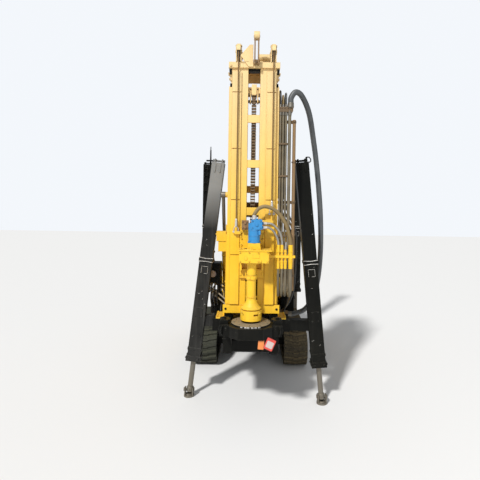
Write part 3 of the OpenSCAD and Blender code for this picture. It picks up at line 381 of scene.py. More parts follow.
# A piece in the making. Its x values count from its middle and are mirrored by its side
class Part:
    def __init__(self, side=1):
        self.bm = bmesh.new()
        self.side, self.middle = side, 0

    def bothSides(self, middle=0):
        self.middle = middle
        for side in (-1, 1):
            self.side = side
            yield side
        self.side, self.middle = 1, 0

    def at(self, place):
        return Vector((self.middle + self.side * place[0], place[1], place[2]))

    def way(self, axis):
        return Vector((self.side * axis[0] + 0.0, axis[1], axis[2]))

    def bevel(self, edges, width):
        bmesh.ops.bevel(self.bm, geom=list(edges), offset=width, offset_type="OFFSET", segments=1, profile=0.5,
                        affect="EDGES", material=-1)

    def bar(self, start, end, radius, sides, endRadius=None, bevel=0):
        made = bmesh.ops.create_cone(self.bm, cap_ends=True, cap_tris=False, segments=sides, radius1=radius,
                                     radius2=endRadius or radius, depth=(end - start).length)["verts"]
        bmesh.ops.transform(self.bm, matrix=Matrix.Translation((start + end) / 2) @ turnTo(end - start),
                            verts=made)
        if bevel:
            edges = {e for v in made for e in v.link_edges}
            self.bevel([e for e in edges if len(e.link_faces) == 2
                        and any(len(f.verts) == sides for f in e.link_faces)], bevel)

    # A round bar, or a tapered one, between two points
    def rod(self, start, end, radius, sides=16, endRadius=None, bevel=0):
        self.bar(self.at(start), self.at(end), radius, sides, endRadius, bevel)

    # A block between two corners, turned about its middle where a turn is given
    def block(self, low, high, bevel=0.002, turn=None):
        low, high = self.at(low), self.at(high)
        low, high = Vector(map(min, low, high)), Vector(map(max, low, high))
        made = bmesh.ops.create_cube(self.bm, size=1)["verts"]
        move = Matrix.Translation((low + high) / 2) @ (turn or Matrix()) @ Matrix.Diagonal((*(high - low), 1))
        bmesh.ops.transform(self.bm, matrix=move, verts=made)
        if bevel:
            self.bevel({e for v in made for e in v.link_edges}, bevel)

    def blocks(self, places, half, bevel=0.002, turn=None):
        for place in places:
            self.block(Vector(place) - Vector(half), Vector(place) + Vector(half), bevel, turn)

    # Blocks round an upright axis, each turned outwards
    def blocksRound(self, middle, ring, degrees, half, bevel):
        for turn in degrees:
            a = math.radians(turn)
            place = Vector(middle) + Vector((ring * math.cos(a), ring * math.sin(a), 0))
            self.blocks([place], half, bevel, Matrix.Rotation(a, 4, "Z"))

    # A flat outline pushed along a depth
    def plate(self, outline, depth, bevel=0.0015):
        face = self.bm.faces.new([self.bm.verts.new(self.at(point)) for point in outline])
        pushed = bmesh.ops.extrude_face_region(self.bm, geom=[face])["geom"]
        moved = [item for item in pushed if isinstance(item, bmesh.types.BMVert)]
        bmesh.ops.translate(self.bm, vec=self.way(depth), verts=moved)
        if bevel:
            self.bevel({e for v in moved + list(face.verts) for e in v.link_edges}, bevel)

    # A profile of (radius, height) pairs turned round an axis
    def spun(self, profile, place, axis, steps=24):
        place = self.at(place)
        move = Matrix.Translation(place) @ turnTo(self.way(axis))
        points = [self.bm.verts.new(move @ Vector((radius, 0, height))) for radius, height in profile]
        edges = [self.bm.edges.new(pair) for pair in zip(points, points[1:])]
        bmesh.ops.spin(self.bm, geom=points + edges, cent=place, axis=move.to_3x3() @ Vector((0, 0, 1)),
                       angle=math.radians(360), steps=steps, use_merge=True)

    # A square ring round an axis
    def band(self, inner, outer, low, high, place, axis, steps=24):
        self.spun([(inner, low), (outer, low), (outer, high), (inner, high)], place, axis, steps)

    def rivets(self, places, axis):
        for place in places:
            self.spun([(0.001, 0.0045), (0.005, 0.0035), (0.0075, 0)], place, axis, 10)

    # Hexagon heads on washers
    def bolts(self, places, axis, size):
        axis = self.way(axis).normalized()
        for place in places:
            self.boltAt(self.at(place), axis, size)

    def boltRing(self, place, axis, ring, count, size, start=0):
        axis = self.way(axis)
        for i in range(count):
            angle = start + 2 * math.pi * i / count
            offset = turnTo(axis) @ Vector((ring * math.cos(angle), ring * math.sin(angle), 0))
            self.boltAt(self.at(place) + offset, axis.normalized(), size)

    def boltAt(self, place, axis, size):
        base = place + axis * size * 0.15
        self.bar(place - axis * 0.001, base, size * 1.3, 12)
        made = bmesh.ops.create_cone(self.bm, cap_ends=True, cap_tris=False, segments=6, radius1=size,
                                     radius2=size, depth=size * 0.7)["verts"]
        turn = turnTo(axis) @ Matrix.Rotation(chance.uniform(0, 1), 4, "Z")
        bmesh.ops.transform(self.bm, matrix=Matrix.Translation(base + axis * size * 0.35) @ turn, verts=made)
        self.bar(base + axis * size * 0.7, base + axis * size * 0.8, size * 0.8, 6)

    # Pipes or weld beads, each a route and its radius or radii
    def tubes(self, tubes, sides=2):
        mesh = tubesMesh("tubes", [([self.at(p) for p in route], radius) for route, radius in tubes], sides)
        self.bm.from_mesh(mesh)
        bpy.data.meshes.remove(mesh)

    # Turns the shape into a piece, smooth between its sharp edges
    def build(self, name, slot, body, paint=None, smoothBelow=38):
        bmesh.ops.remove_doubles(self.bm, verts=self.bm.verts, dist=0.00002)
        bmesh.ops.dissolve_degenerate(self.bm, edges=self.bm.edges, dist=0.00001)
        bmesh.ops.recalc_face_normals(self.bm, faces=self.bm.faces)
        mesh = bpy.data.meshes.new(name)
        self.bm.to_mesh(mesh)
        self.bm.free()
        mesh.shade_smooth()
        mesh.set_sharp_from_angle(angle=math.radians(smoothBelow))
        return addPiece(name, mesh, slot, body, paint)


def curvePoint(a, b, c, d, t):
    return 0.5 * (2 * b + (c - a) * t + (2 * a - 5 * b + 4 * c - d) * t * t + (3 * b - a - 3 * c + d) * t ** 3)


# Smooth points through given route points
def smoothRoute(points, steps):
    p = [Vector(v) for v in points]
    last = len(p) - 1
    return [curvePoint(p[max(i - 1, 0)], p[i], p[i + 1], p[min(i + 2, last)], s / steps)
            for i in range(last) for s in range(steps)] + [p[last]]


def routeLength(route):
    return sum((b - a).length for a, b in zip(route, route[1:]))


# Round tubes with closed ends along routes, each given as (route, radius or radii)
def tubesMesh(name, tubes, sides=3, profile=None, twist=0.0):
    data = bpy.data.curves.new(name, "CURVE")
    data.dimensions = "3D"
    data.twist_mode = "MINIMUM"
    data.use_fill_caps = True
    if profile:
        data.bevel_mode = "OBJECT"
        data.bevel_object = profile
    else:
        data.bevel_depth = 1
        data.bevel_resolution = sides
    for route, radius in tubes:
        spline = data.splines.new("POLY")
        spline.points.add(len(route) - 1)
        along = 0
        for i, (point, place) in enumerate(zip(spline.points, route)):
            along += (Vector(place) - Vector(route[max(i - 1, 0)])).length
            point.co = (*place, 1)
            point.radius = radius[i] if isinstance(radius, list) else radius
            point.tilt = along * twist
    shape = addObject(name, data)
    mesh = bpy.data.meshes.new_from_object(shape.evaluated_get(bpy.context.evaluated_depsgraph_get()))
    bpy.data.objects.remove(shape)
    for face in mesh.polygons:
        face.use_smooth = len(face.vertices) == 4
    return mesh


# The way from one point to another in even steps
def evenSteps(start, end, step):
    start, end = Vector(start), Vector(end)
    count = max(2, round((end - start).length / step))
    return [start.lerp(end, i / count) for i in range(count + 1)]


def evenRoute(corners, step):
    route = [point for start, end in zip(corners, corners[1:]) for point in evenSteps(start, end, step)[:-1]]
    return route + [Vector(corners[-1])]


# A ripply weld bead along corners
def weld(radius, *corners):
    route = evenRoute(corners, 0.009)
    return route, [radius * chance.uniform(0.75, 1.2) for point in route]


# The fewest points, 15 to 38, that still follow a route
def thinned(route, tolerance):
    route = [Vector(p) for p in route]
    keep = [0, len(route) - 1]
    while len(keep) < 38:
        worst, place = 0, None
        for low, high in zip(keep, keep[1:]):
            line = route[high] - route[low]
            for i in range(low + 1, high):
                offset = route[i] - route[low]
                share = max(0, min(1, offset.dot(line) / max(line.length_squared, 1e-12)))
                gap = (offset - line * share).length + 1e-6 * min(i - low, high - i)
                if gap > worst:
                    worst, place = gap, i
        if place is None or (worst < tolerance and len(keep) >= 15):
            break
        keep = sorted(keep + [place])
    return [tuple(route[i]) for i in keep]


# Hides the solid a cord replaces; the route's start, length and thinned points are worked out and not used
def declareCord(piece, route, radius, node):
    if node:
        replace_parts(piece, node)
    tuple(route[0])
    routeLength(route)
    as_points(thinned(route, radius * 0.04))


# A hose along smooth route points, on one body or none; where a blend is given its transform is baked in
def addHose(name, points, steps, radius, paint, sides=4, node=None, body=None, blend=None):
    route = smoothRoute(points, steps)
    piece = addPiece(name, tubesMesh(name, [(route, radius)], sides), "hose_rubber", body, paint)
    if blend:
        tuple(blend[2])
        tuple(blend[3])
        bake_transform(piece)
    declareCord(piece, route, radius, node)


# Big air hose from the deck to the mast's clamp, on the route of its solid
airHose = {
    "route": [
        (0.4705, -0.66, 0.9), (0.5, -0.66, 0.9), (0.53, -0.66, 0.9), (0.68, -0.7, 0.97), (0.77, -0.8, 1.15),
        (0.815, -0.89, 1.4), (0.83, -0.96, 1.75), (0.815, -1.01, 2.15), (0.785, -1.03, 2.5), (0.75, -1.045, 2.8),
        (0.705, -1.11, 3.04), (0.625, -1.29, 3.32), (0.53, -1.41, 3.48), (0.455, -1.45, 3.52),
        (0.405, -1.455, 3.46), (0.4, -1.455, 3.405), (0.4, -1.455, 3.352),
    ],
    "radius": 0.031,
    "blendStart": (0.83, -0.96, 1.6),
    "blendEnd": (0.42, -1.45, 3.45),
}
addHose("airHose", airHose["route"], 8, airHose["radius"], "greyHose", 5, node="air_hose",
        blend=("root", "mast", airHose["blendStart"], airHose["blendEnd"]))

# Four hoses that hang from the head and rise to the clamp
headHoses = {
    "headY": -1.65,
    "clampY": -1.46,
    "topZ": 1.706,
    "bendZ": 1.42,
    "clampZ": 3.31,
    "headX": [0.276, 0.313, 0.35, 0.403],
    "clampX": [0.29, 0.321, 0.352, 0.39],
    "radii": [0.012, 0.012, 0.012, 0.018],
    "blendStartZ": 3.2,
    "blendEndZ": 1.75,
}


def addHeadHoses(h):
    headY, clampY = h["headY"], h["clampY"]
    bend = (clampY - headY) / 2
    flat = [(0, headY, z) for z in (h["topZ"], 1.6, 1.5, 1.45)]
    flat += [((1 - x) / 2, headY + bend * (1 - x), h["bendZ"] - bend * z) for x, z in circle(1, 0, 180, 12)]
    flat += [(1, clampY, z) for z in (1.45, 1.6, 1.8, 2, 2.3, 2.6, 2.9, 3.2, h["clampZ"])]
    for i, (headX, clampX, radius) in enumerate(zip(h["headX"], h["clampX"], h["radii"])):
        points = [(headX + (clampX - headX) * share, y, z) for share, y, z in flat]
        blend = ("mast", "head", (clampX, clampY, h["blendStartZ"]), (clampX, clampY, h["blendEndZ"]))
        addHose(f"headHose{i + 1}", points, 3, radius, "hose_rubber", node="head_hoses", blend=blend)


addHeadHoses(headHoses)

# Two thin hoses from the motor's port block and a thick one in an arc over them
motorHoses = [
    {"paint": "silverHose", "radius": 0.012, "route": [
        (0.116, -1.64, 2.09), (0.136, -1.64, 2.09), (0.16, -1.64, 2.09), (0.215, -1.645, 2.08),
        (0.285, -1.65, 2.005), (0.313, -1.65, 1.905), (0.313, -1.65, 1.84), (0.313, -1.65, 1.792)]},
    {"paint": "silverHose", "radius": 0.012, "route": [
        (0.116, -1.68, 2.05), (0.136, -1.68, 2.05), (0.165, -1.68, 2.05), (0.215, -1.672, 2.02),
        (0.262, -1.655, 1.94), (0.276, -1.65, 1.87), (0.276, -1.65, 1.83), (0.276, -1.65, 1.792)]},
    {"paint": "oldHose", "radius": 0.02, "route": [
        (0.02, -1.622, 2.1295), (0.02, -1.622, 2.155), (0.02, -1.622, 2.18), (0.07, -1.618, 2.248),
        (0.15, -1.622, 2.266), (0.255, -1.632, 2.215), (0.345, -1.643, 2.095), (0.392, -1.65, 1.95),
        (0.403, -1.65, 1.87), (0.403, -1.65, 1.83), (0.403, -1.65, 1.792)]},
]
for i, hose in enumerate(motorHoses):
    addHose(f"motorHose{i + 1}", hose["route"], 8, hose["radius"], hose["paint"], node="motor_hoses", body="head")
print("hoses")

# Hoist ropes of twisted strands: the front of each is on no body, the rear stays with the mast
ropes = {
    "x": [-0.172, 0.205],
    "endZ": [2.045, 2.24],
    "frontY": -1.544,
    "sheaveY": [-1.484, -1.2823],
    "sheaveZ": 3.94,
    "sheaveRadius": 0.06,
    "winchY": -1.14,
    "winchZ": 2.23,
    "coilRadius": 0.0822,
    "coilWidth": 0.406,
    "coilTurns": 28,
    "coilRope": 0.0071,
    "radius": 0.007,
    "step": 0.01,
    "twist": 62,
    "blendTop": 3.75,
}


def makeRopeProfile():
    data = bpy.data.curves.new("ropeProfile", "CURVE")
    data.dimensions = "2D"
    spline = data.splines.new("POLY")
    spline.points.add(17)
    for i, (point, (x, y)) in enumerate(zip(spline.points, circle(1, 0, 360, 18))):
        reach = 1 if i % 3 else 0.8
        point.co = (x * reach, y * reach, 0, 1)
    spline.use_cyclic_u = True
    return addObject("ropeProfile", data)


# Points on an arc round a line along x, from the front over the top
def arcPoints(centre, radius, start, end, steps):
    return [Vector((centre[0], centre[1] - y, centre[2] + z)) for y, z in circle(radius, start, end, steps)]


def addRopes(r):
    profile = makeRopeProfile()
    frontY, (nearY, farY), step = r["frontY"], r["sheaveY"], r["step"]
    sheaveZ, bend = r["sheaveZ"], r["sheaveRadius"]
    middleY, backY, top = (nearY + farY) / 2, farY + bend, sheaveZ + bend
    for i, (x, endZ) in enumerate(zip(r["x"], r["endZ"])):
        front = evenSteps((x, frontY, endZ + 0.003), (x, frontY, sheaveZ), step)[:-1]
        front += arcPoints((x, nearY, sheaveZ), bend, 0, 90, 12)
        front += evenSteps((x, nearY, top), (x, middleY, top), step)[1:]
        rear = evenSteps((x, middleY, top), (x, farY, top), step)
        rear += arcPoints((x, farY, sheaveZ), bend, 90, 180, 12)[1:]
        rear += evenSteps((x, backY, sheaveZ), (x, backY, r["winchZ"]), step)[1:]
        for name, route, body in ((f"ropeFront{i + 1}", front, None), (f"ropeRear{i + 1}", rear, "mast")):
            mesh = tubesMesh(name, [(route, r["radius"])], profile=profile, twist=r["twist"])
            piece = addPiece(name, mesh, "wire_rope", body)
            if not body:
                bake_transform(piece)
            declareCord(piece, route, r["radius"], "hoist_ropes")
    bpy.data.objects.remove(profile)
    steps = 20 * r["coilTurns"]
    coil = [(r["coilWidth"] * (i / steps - 0.5), r["winchY"] - y, r["winchZ"] + z)
            for i, (y, z) in enumerate(circle(r["coilRadius"], 0, 360 * r["coilTurns"], steps))]
    addPiece("drumRope", tubesMesh("drumRope", [(coil, r["coilRope"])], 1), "wire_rope", "mast")


addRopes(ropes)


# Sockets, thimbles and shackles at the ropes' ends
def addShackles(r):
    part = Part()
    y, pinY = r["frontY"], r["frontY"] - 0.002
    for middle, z in zip(r["x"], r["endZ"]):
        part.middle = middle
        pinZ, earZ = z - 0.05, z - 0.053
        part.spun([(0.0072, 0), (0.013, 0.004), (0.0145, 0.02), (0.0145, 0.045), (0.011, 0.062), (0.011, 0.068),
                   (0.0125, 0.072), (0.0125, 0.078), (0.0078, 0.09)], (0, y, z), upWay, 16)
        bow = [(0.024 * a, pinY, z - 0.022 + 0.026 * b) for a, b in circle(1, -20, 200, 11)]
        part.tubes([([(0.022, pinY, z - 0.055), *bow, (-0.022, pinY, z - 0.055)], 0.0055)])
        part.rod((-0.034, pinY, pinZ), (0.034, pinY, pinZ), 0.0065, 10)
        part.bolts([(0.03, pinY, pinZ)], outWay, 0.009)
        part.rod((-0.038, pinY, pinZ), (-0.03, pinY, pinZ), 0.01, 10)
        for x in (-0.022, 0.022):
            part.rod((x, y - 0.014, earZ), (x, y + 0.01, earZ), 0.01, 10)
    part.build("shackles", "bare_steel", "head", "paleSteel")


addShackles(ropes)

# Roller chain round two sprockets in the slot between the columns
chain = {
    "y": -1.39,
    "low": 1.4555,
    "pitch": 0.03175,
    "straight": 62,
    "teeth": 10,
    "tooth": [(-0.5, 0.8), (-0.36, 0.84), (-0.14, 1.16), (0.14, 1.16), (0.36, 0.84)],  # (share, reach)
    "hubHalves": [0.0655, 0.0335],
    "linkHalf": 0.0115,
}


def addChain(c):
    low, high = c["low"], c["low"] + c["straight"] * c["pitch"]
    radius = c["pitch"] / 2 / math.sin(math.pi / c["teeth"])
    ups = [i * c["pitch"] for i in range(c["straight"])]
    bend = circle(radius, 0, 180, c["teeth"] // 2)[:-1]
    pins = [(-radius, low + up) for up in ups] + [(-y, high + z) for y, z in bend]
    pins += [(radius, high - up) for up in ups] + [(y, low - z) for y, z in bend]
    pins = [Vector((0, c["y"] + y, z)) for y, z in pins]
    part = Part()
    for i, (start, end) in enumerate(zip(pins, pins[1:] + pins[:1])):
        along = (end - start).normalized()
        across = Vector((0, -along.z, along.y))
        outline = []
        for centre, first, waist in ((end, 90, -0.78), (start, 270, 0.78)):
            outline += [centre + c["linkHalf"] * (along * a + across * b)
                        for a, b in circle(1, first, first - 180, 4)]
            outline.append((start + end) / 2 + across * c["linkHalf"] * waist)
        for _ in part.bothSides():
            part.plate([(0.0175 if i % 2 else 0.021, y, z) for x, y, z in outline], (0.003, 0, 0), 0)
        for half, thick, sides in ((0.0168, 0.0095, 12), (0.0265, 0.0048, 8)):
            part.rod((-half, start.y, start.z), (half, start.y, start.z), thick, sides)
    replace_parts(part.build("chainLinks", "rusty_steel", "mast", "chainBrown"), "feed_chain")
    part = Part()
    for z, half in zip((low, high), c["hubHalves"]):
        outline = []
        for tooth, (share, reach) in product(range(c["teeth"]), c["tooth"]):
            a = 2 * math.pi * (tooth + 0.5 + share) / c["teeth"]
            outline.append((-0.011, c["y"] + radius * reach * math.cos(a), z + radius * reach * math.sin(a)))
        part.plate(outline, (0.022, 0, 0), 0)
        part.spun([(0.001, -half), (0.015, -half), (0.015, -0.026), (0.026, -0.022), (0.026, 0.022),
                   (0.015, 0.026), (0.015, half), (0.001, half)], (0, c["y"], z), outWay, 20)
    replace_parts(part.build("chainSprockets", "rusty_steel", "mast", "chainBrown"), "feed_chain")


addChain(chain)
print("ropes and chain")

# Rubber tracks with staggered lugs, a ribbed band and guide horns
tracks = {
    "x": 0.64,
    "frontY": 0.05,
    "rearY": 1.3,
    "z": 0.25,
    "band": 0.23,
    "lugs": 46,
    "half": 0.165,
    "rollerY": [0.28, 0.475, 0.67, 0.865, 1.06],
    "rollerZ": 0.1223,
}


# The y and z of a place on the loop, by its share of the way round and its distance from the wheels' middle
def onLoop(t, share, out):
    straight, arc = t["rearY"] - t["frontY"], math.pi * t["band"]
    over, along = divmod(share % 1 * 2 * (straight + arc), straight + arc)
    a = max(0, along - straight) / t["band"]
    way, start = (-1, t["rearY"]) if over else (1, t["frontY"])
    return start + way * (min(along, straight) + out * math.sin(a)), t["z"] - way * out * math.cos(a)


# A block on the loop between two widths, its foot longer than its tip
def addLug(part, t, share, low, high, heights, feet, slant=0):
    loop = 2 * (t["rearY"] - t["frontY"] + math.pi * t["band"])
    verts = []
    for out, foot, inset in zip(heights, feet, (0, 0.004)):
        for x, way in ((low + inset, -slant), (high - inset, slant)):
            for end in (-foot, foot):
                verts.append(part.bm.verts.new(part.at((x, *onLoop(t, share + (end + way) / loop, out)))))
    for face in ((0, 2, 3, 1), (4, 5, 7, 6), (0, 1, 5, 4), (2, 6, 7, 3), (0, 4, 6, 2), (1, 3, 7, 5)):
        part.bm.faces.new([verts[k] for k in face])


def addTracks(t):
    lugs, half = t["lugs"], t["half"]
    section = [(-half, 0.197), (-half + 0.008, 0.19), (half - 0.008, 0.19), (half, 0.197),
               (half, 0.222), (half - 0.008, 0.23), (-half + 0.008, 0.23), (-half, 0.222)]
    # The left track takes the darker copy of the rubber: painted shade
    for side, label, paint in ((-1, "left", "darkTrack"), (1, "right", None)):
        part = Part()
        part.middle = side * t["x"]
        rings = [[part.bm.verts.new(part.at((x, *onLoop(t, i / lugs / 2, out)))) for x, out in section]
                 for i in range(2 * lugs)]
        for ring, after in zip(rings, rings[1:] + rings[:1]):
            for k in range(len(section)):
                part.bm.faces.new([ring[k - 1], ring[k], after[k], after[k - 1]])
        for share in [i / lugs for i in range(lugs)]:
            addLug(part, t, share, -half, -0.03, (0.228, 0.25), (0.0215, 0.014), 0.01)
            addLug(part, t, share + 0.25 / lugs, -0.042, 0.042, (0.228, 0.25), (0.0215, 0.014))
            addLug(part, t, share, 0.03, half, (0.228, 0.25), (0.0215, 0.014), -0.01)
            addLug(part, t, share, -half + 0.02, half - 0.02, (0.191, 0.1865), (0.016, 0.013))
            for x in (-0.105, 0.105):
                addLug(part, t, share, x - 0.012, x + 0.012, (0.192, 0.15), (0.018, 0.009))
        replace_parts(part.build(f"rubberTrack{label.title()}", "rubber", "root", paint, 30), f"track_{label}")


addTracks(tracks)


# Wheel rims, hubs, roller flanges, frame covers and their bolts
def addTrackHardware(t):
    for side, label in ((-1, "Left"), (1, "Right")):
        part = Part()
        front, rear = (0, t["frontY"], t["z"]), (0, t["rearY"], t["z"])
        for face in part.bothSides(side * t["x"]):
            part.spun([(0.098, 0.108), (0.088, 0.116), (0.05, 0.116), (0.044, 0.128), (0.001, 0.128)],
                      rear, outWay, 28)
            part.boltRing((0.115, *rear[1:]), outWay, 0.07, 10, 0.008)
            part.spun([(0.186, 0.034), (0.183, 0.042), (0.16, 0.042), (0.15, 0.034)], rear, outWay, 40)
            part.boltRing((0.034, *rear[1:]), outWay, 0.13, 12, 0.008)
            part.spun([(0.187, 0.029), (0.184, 0.037), (0.168, 0.037), (0.15, 0.03), (0.06, 0.03),
                       (0.056, 0.044)], front, outWay, 40)
            part.spun([(0.045, 0.099), (0.04, 0.108), (0.012, 0.108), (0.01, 0.112), (0.001, 0.112)],
                      front, outWay, 20)
            for dy, dz in circle(0.105, 0, 315, 7):
                y, z = front[1] + dy, front[2] + dz
                part.rod((0.031, y, z), (0.035, y, z), 0.02, 14, bevel=0.001)
            for y in t["rollerY"]:
                part.spun([(0.062, 0.046), (0.0665, 0.048), (0.0665, 0.06), (0.06, 0.069), (0.03, 0.0705),
                           (0.028, 0.076), (0.001, 0.076)], (0, y, t["rollerZ"]), outWay)
                part.block((0.082, y - 0.034, 0.098), (0.094, y + 0.034, 0.16), 0.003)
                part.bolts([(0.093, y, 0.122)], outWay, 0.013)
            if face == side:
                part.block((0.0848, 0.36, 0.205), (0.0948, 0.62, 0.3), 0.003)
                part.bolts(grid(0.0938, (0.385, 0.595), (0.222, 0.283)), outWay, 0.008)
                part.block((0.0848, 0.8, 0.215), (0.0928, 1.02, 0.285), 0.003)
                part.rod((0.0848, 0.91, 0.25), (0.1008, 0.91, 0.25), 0.018)
        part.build(f"trackHardware{label}", "black_paint", "root")


addTrackHardware(tracks)
print("tracks")

# Three lines that loop over the clamp, run down behind it and on to the deck
rearLines = {
    "x": [0.29, 0.321, 0.352],
    "startY": -1.445,
    "startZ": 3.345,
    "radius": 0.01,
    "loop": 0.08,
    "loopZ": [3.47, 3.42, 3.445],
    "outX": [0.455, 0.485, 0.515],
    "endX": 0.385,
    "endY": [-0.9, -0.865, -0.83],
    "paints": ["blackHose", "oldHose", "greyHose"],
}


def addRearLines(r):
    startY, startZ, endX = r["startY"], r["startZ"], r["endX"]
    backY = startY + 2 * r["loop"]
    for i, (x, loopZ, out, endY, paint) in enumerate(zip(r["x"], r["loopZ"], r["outX"], r["endY"], r["paints"])):
        points = [(x, startY, startZ), (x, startY, (startZ + loopZ) / 2)]
        points += arcPoints((x, startY + r["loop"], loopZ), r["loop"], 0, 180, 6)
        points += [(x, backY, z) for z in (loopZ - 0.05, loopZ - 0.13, 3.1, 2.8, 2.55, 2.4)]
        points += [(x + 0.05, backY + 0.01, 2.2), (out - 0.02, -1.24, 2), (out, -1.18, 1.8), (out, -1.09, 1.5),
                   (out - 0.01, -1.005, 1.27), ((out + endX) / 2 + 0.012, (endY - 0.965) / 2, 1.1),
                   (endX + 0.012, endY - 0.014, 1), (endX, endY, 0.925), (endX, endY, 0.851)]
        addHose(f"rearLine{i + 1}", points, 4, r["radius"], paint,
                blend=("mast", "root", (x, backY, 2.45), (out, -1, 1.15)))


addRearLines(rearLines)

# Hoses between the valve bank, the console, the tank and the deck
bank = {
    "x": [-0.483, -0.445, -0.407, -0.369, -0.331],
    "frontY": -0.8325,
    "frontZ": 1.05,
    "rearY": -0.7175,
    "rearZ": 1.124,
    "consoleZ": 1.329,
    "deckZ": 0.851,
    "tankX": -0.286,
    "tankY": -0.7475,
    "overTank": [(1.27, 0.083, 120), (1.225, 0.0766, 110)],  # end height, bend radius, degrees over the top
    "radius": 0.009,
}


# Up from the bank's back, over in one bend and level into the tank's side
def overTank(b, x, endZ, radius, degrees):
    rearY, rearZ = b["rearY"], b["rearZ"]
    far, half = math.radians(degrees), math.radians(degrees / 2 + 45)
    base = endZ + radius - 2 * radius * math.sin(far)
    turnX = x + radius - 2 * radius * math.cos(far)
    flat = [(x, rearZ)] + ([(x, (rearZ + base) / 2)] if base - rearZ > 0.05 else [])
    flat += [(x + radius - across, base + up) for across, up in circle(radius, 0, degrees, 5)]
    flat += [(turnX + radius * math.cos(half), endZ + radius - radius * math.sin(half)), (turnX, endZ),
             (b["tankX"], endZ)]
    shift, last = b["tankY"] - rearY, len(flat) - 3
    return [(px, rearY + shift * min(1, max(0, (i - 1) / last)), pz) for i, (px, pz) in enumerate(flat)]


def bankRoutes(b):
    z, back, rearZ, consoleZ, deckZ = b["frontZ"], b["rearY"], b["rearZ"], b["consoleZ"], b["deckZ"]
    routes = []
    for i, x in enumerate(b["x"]):
        start = (x, b["frontY"], z)
        if i < 3:
            routes.append(("blackHose", [
                start, (x, -0.85, z), (x, -0.872, 1.052), (x, -0.915, 1.075), (x - 0.004, -0.938, 1.125),
                (x - 0.006, -0.938, 1.185), (x, -0.915, 1.25), (x, -0.888, 1.29), (x, -0.88, 1.312),
                (x, -0.88, consoleZ)]))
        if i < 2:
            routes.append(("oldHose", overTank(b, x, *b["overTank"][i])))
        if i > 2:
            routes.append(("blackHose", [start, *arcPoints((x, -0.852, z - 0.082), 0.082, 90, 0, 5),
                                         *[(x, -0.934, low) for low in (0.94, 0.905, deckZ)]]))
            routes.append(("greyHose", [
                (x, back, rearZ), (x, back, 1.145), (x, back, 1.165), (x - 0.02, -0.72, 1.215),
                (x - 0.06, -0.722, 1.265), (x - 0.08, -0.725, 1.3), (x - 0.08, -0.725, 1.315),
                (x - 0.08, -0.725, consoleZ)]))
    for x, up in ((0, 0), (0.035, 0.028)):
        routes.append(("paleHose", [
            (x - 0.53, -0.89, consoleZ), (x - 0.53, -0.89, 1.315), (x - 0.528, -0.892, 1.295),
            (x - 0.505, -0.905, 1.245), (x - 0.44, -0.915, 1.18 + up), (x - 0.35, -0.918, 1.105 + up),
            (x - 0.27, -0.915, 1.03 + up), (x - 0.225, -0.905, 0.96), (x - 0.215, -0.9, 0.915),
            (x - 0.215, -0.9, 0.885), (x - 0.215, -0.9, deckZ)]))
    return routes


bankEnds = []
for i, (paint, points) in enumerate(bankRoutes(bank)):
    addHose(f"bankHose{i + 1}", points, 5, bank["radius"], paint, 3, body="root")
    for end, after in (points[:2], points[:-3:-1]):
        bankEnds.append((end, (Vector(after) - Vector(end)).normalized()))

# Hoses, pipes and pins of the lift cylinders
lift = {
    "x": 0.341,
    "footY": -0.4,
    "footZ": 1,
    "along": (0, -0.472, 0.8815),
    "away": (0, -0.8815, -0.472),
    "clips": [0.3, 0.52, 0.74],
    "hoseRadius": 0.008,
}


def addLiftParts(c):
    x, pinY, pinZ = c["x"], c["footY"], c["footZ"]
    foot, along, away = Vector((x, pinY, pinZ)), Vector(c["along"]), Vector(c["away"])
    pipe = [foot + along * s + away * out + Vector((0.012, 0, 0)) for s, out in (
        (0.15, 0.03), (0.16, 0.046), (0.3, 0.046), (0.5, 0.046), (0.7, 0.046), (0.82, 0.046), (0.83, 0.03))]
    hose = [(x, -0.4885, 1.089), (x, -0.502, 1.082), (x, -0.522, 1.07), (x - 0.01, -0.562, 1.025),
            (x - 0.02, -0.578, 0.965), (x - 0.02, -0.58, 0.92), (x - 0.02, -0.58, 0.885),
            (x - 0.02, -0.58, 0.851)]
    for side, label in ((-1, "left"), (1, "right")):
        points = [(side * x, y, z) for x, y, z in hose]
        addHose(f"liftHose{label.title()}", points, 6, c["hoseRadius"], "blackHose", 3,
                blend=(f"lift_barrel_{label}", "root", points[1], points[6]))
        bankEnds.append((points[-1], upWay))
        part = Part(side)
        part.tubes([(pipe, 0.006)])
        for s in c["clips"]:
            part.band(0.0345, 0.0375, -0.01, 0.01, foot + along * s, along)
            part.blocks([foot + along * s + away * 0.045], (0.014, 0.009, 0.009), 0.003,
                        Matrix.Rotation(math.radians(28), 4, "X"))
        part.spun([(0.0345, 0.845), (0.0385, 0.85), (0.0385, 0.885), (0.034, 0.897), (0.0215, 0.899)],
                  foot, along)
        part.boltRing(foot + along * 0.897, along, 0.029, 6, 0.0045)
        part.spun([(0.0265, -0.002), (0.03, -0.002), (0.0265, 0.006)], foot + along * 0.088, along)
        part.rod(foot + along * 0.12 + away * 0.03, foot + along * 0.12 + away * 0.04, 0.013, 6, bevel=0.001)
        part.build(f"liftBarrelFittings{label.title()}", "yellow_paint", f"lift_barrel_{label}")
        part = Part(side)
        for face in (-1, 1):
            part.rod((x + face * 0.04, pinY, pinZ), (x + face * 0.048, pinY, pinZ), 0.022, bevel=0.001)
            part.tubes([([(x + face * 0.045, pinY, pinZ - 0.028), (x + face * 0.045, pinY, pinZ + 0.03)], 0.003)])
        part.build(f"liftPinHeads{label.title()}", "bare_steel", "root")


addLiftParts(lift)


# A ferrule and a hexagon nut where a hose meets its fitting
def addFerrule(part, place, axis, hose, length):
    rings = [(0.0022, 0.99), (0.0036, 0.9), (0.0024, 0.78), (0.0038, 0.68), (0.0024, 0.56), (0.0038, 0.46),
             (0.0042, 0.3), (0.003, 0.02)]
    part.spun([(hose * 0.9, length), *[(hose + out, share * length) for out, share in rings], (hose * 0.5, 0)],
              place, axis, 16)
    place, axis = Vector(place), Vector(axis)
    part.rod(place - axis * 0.001, place + axis * length * 0.24, hose + 0.0065, 6, bevel=0.001)


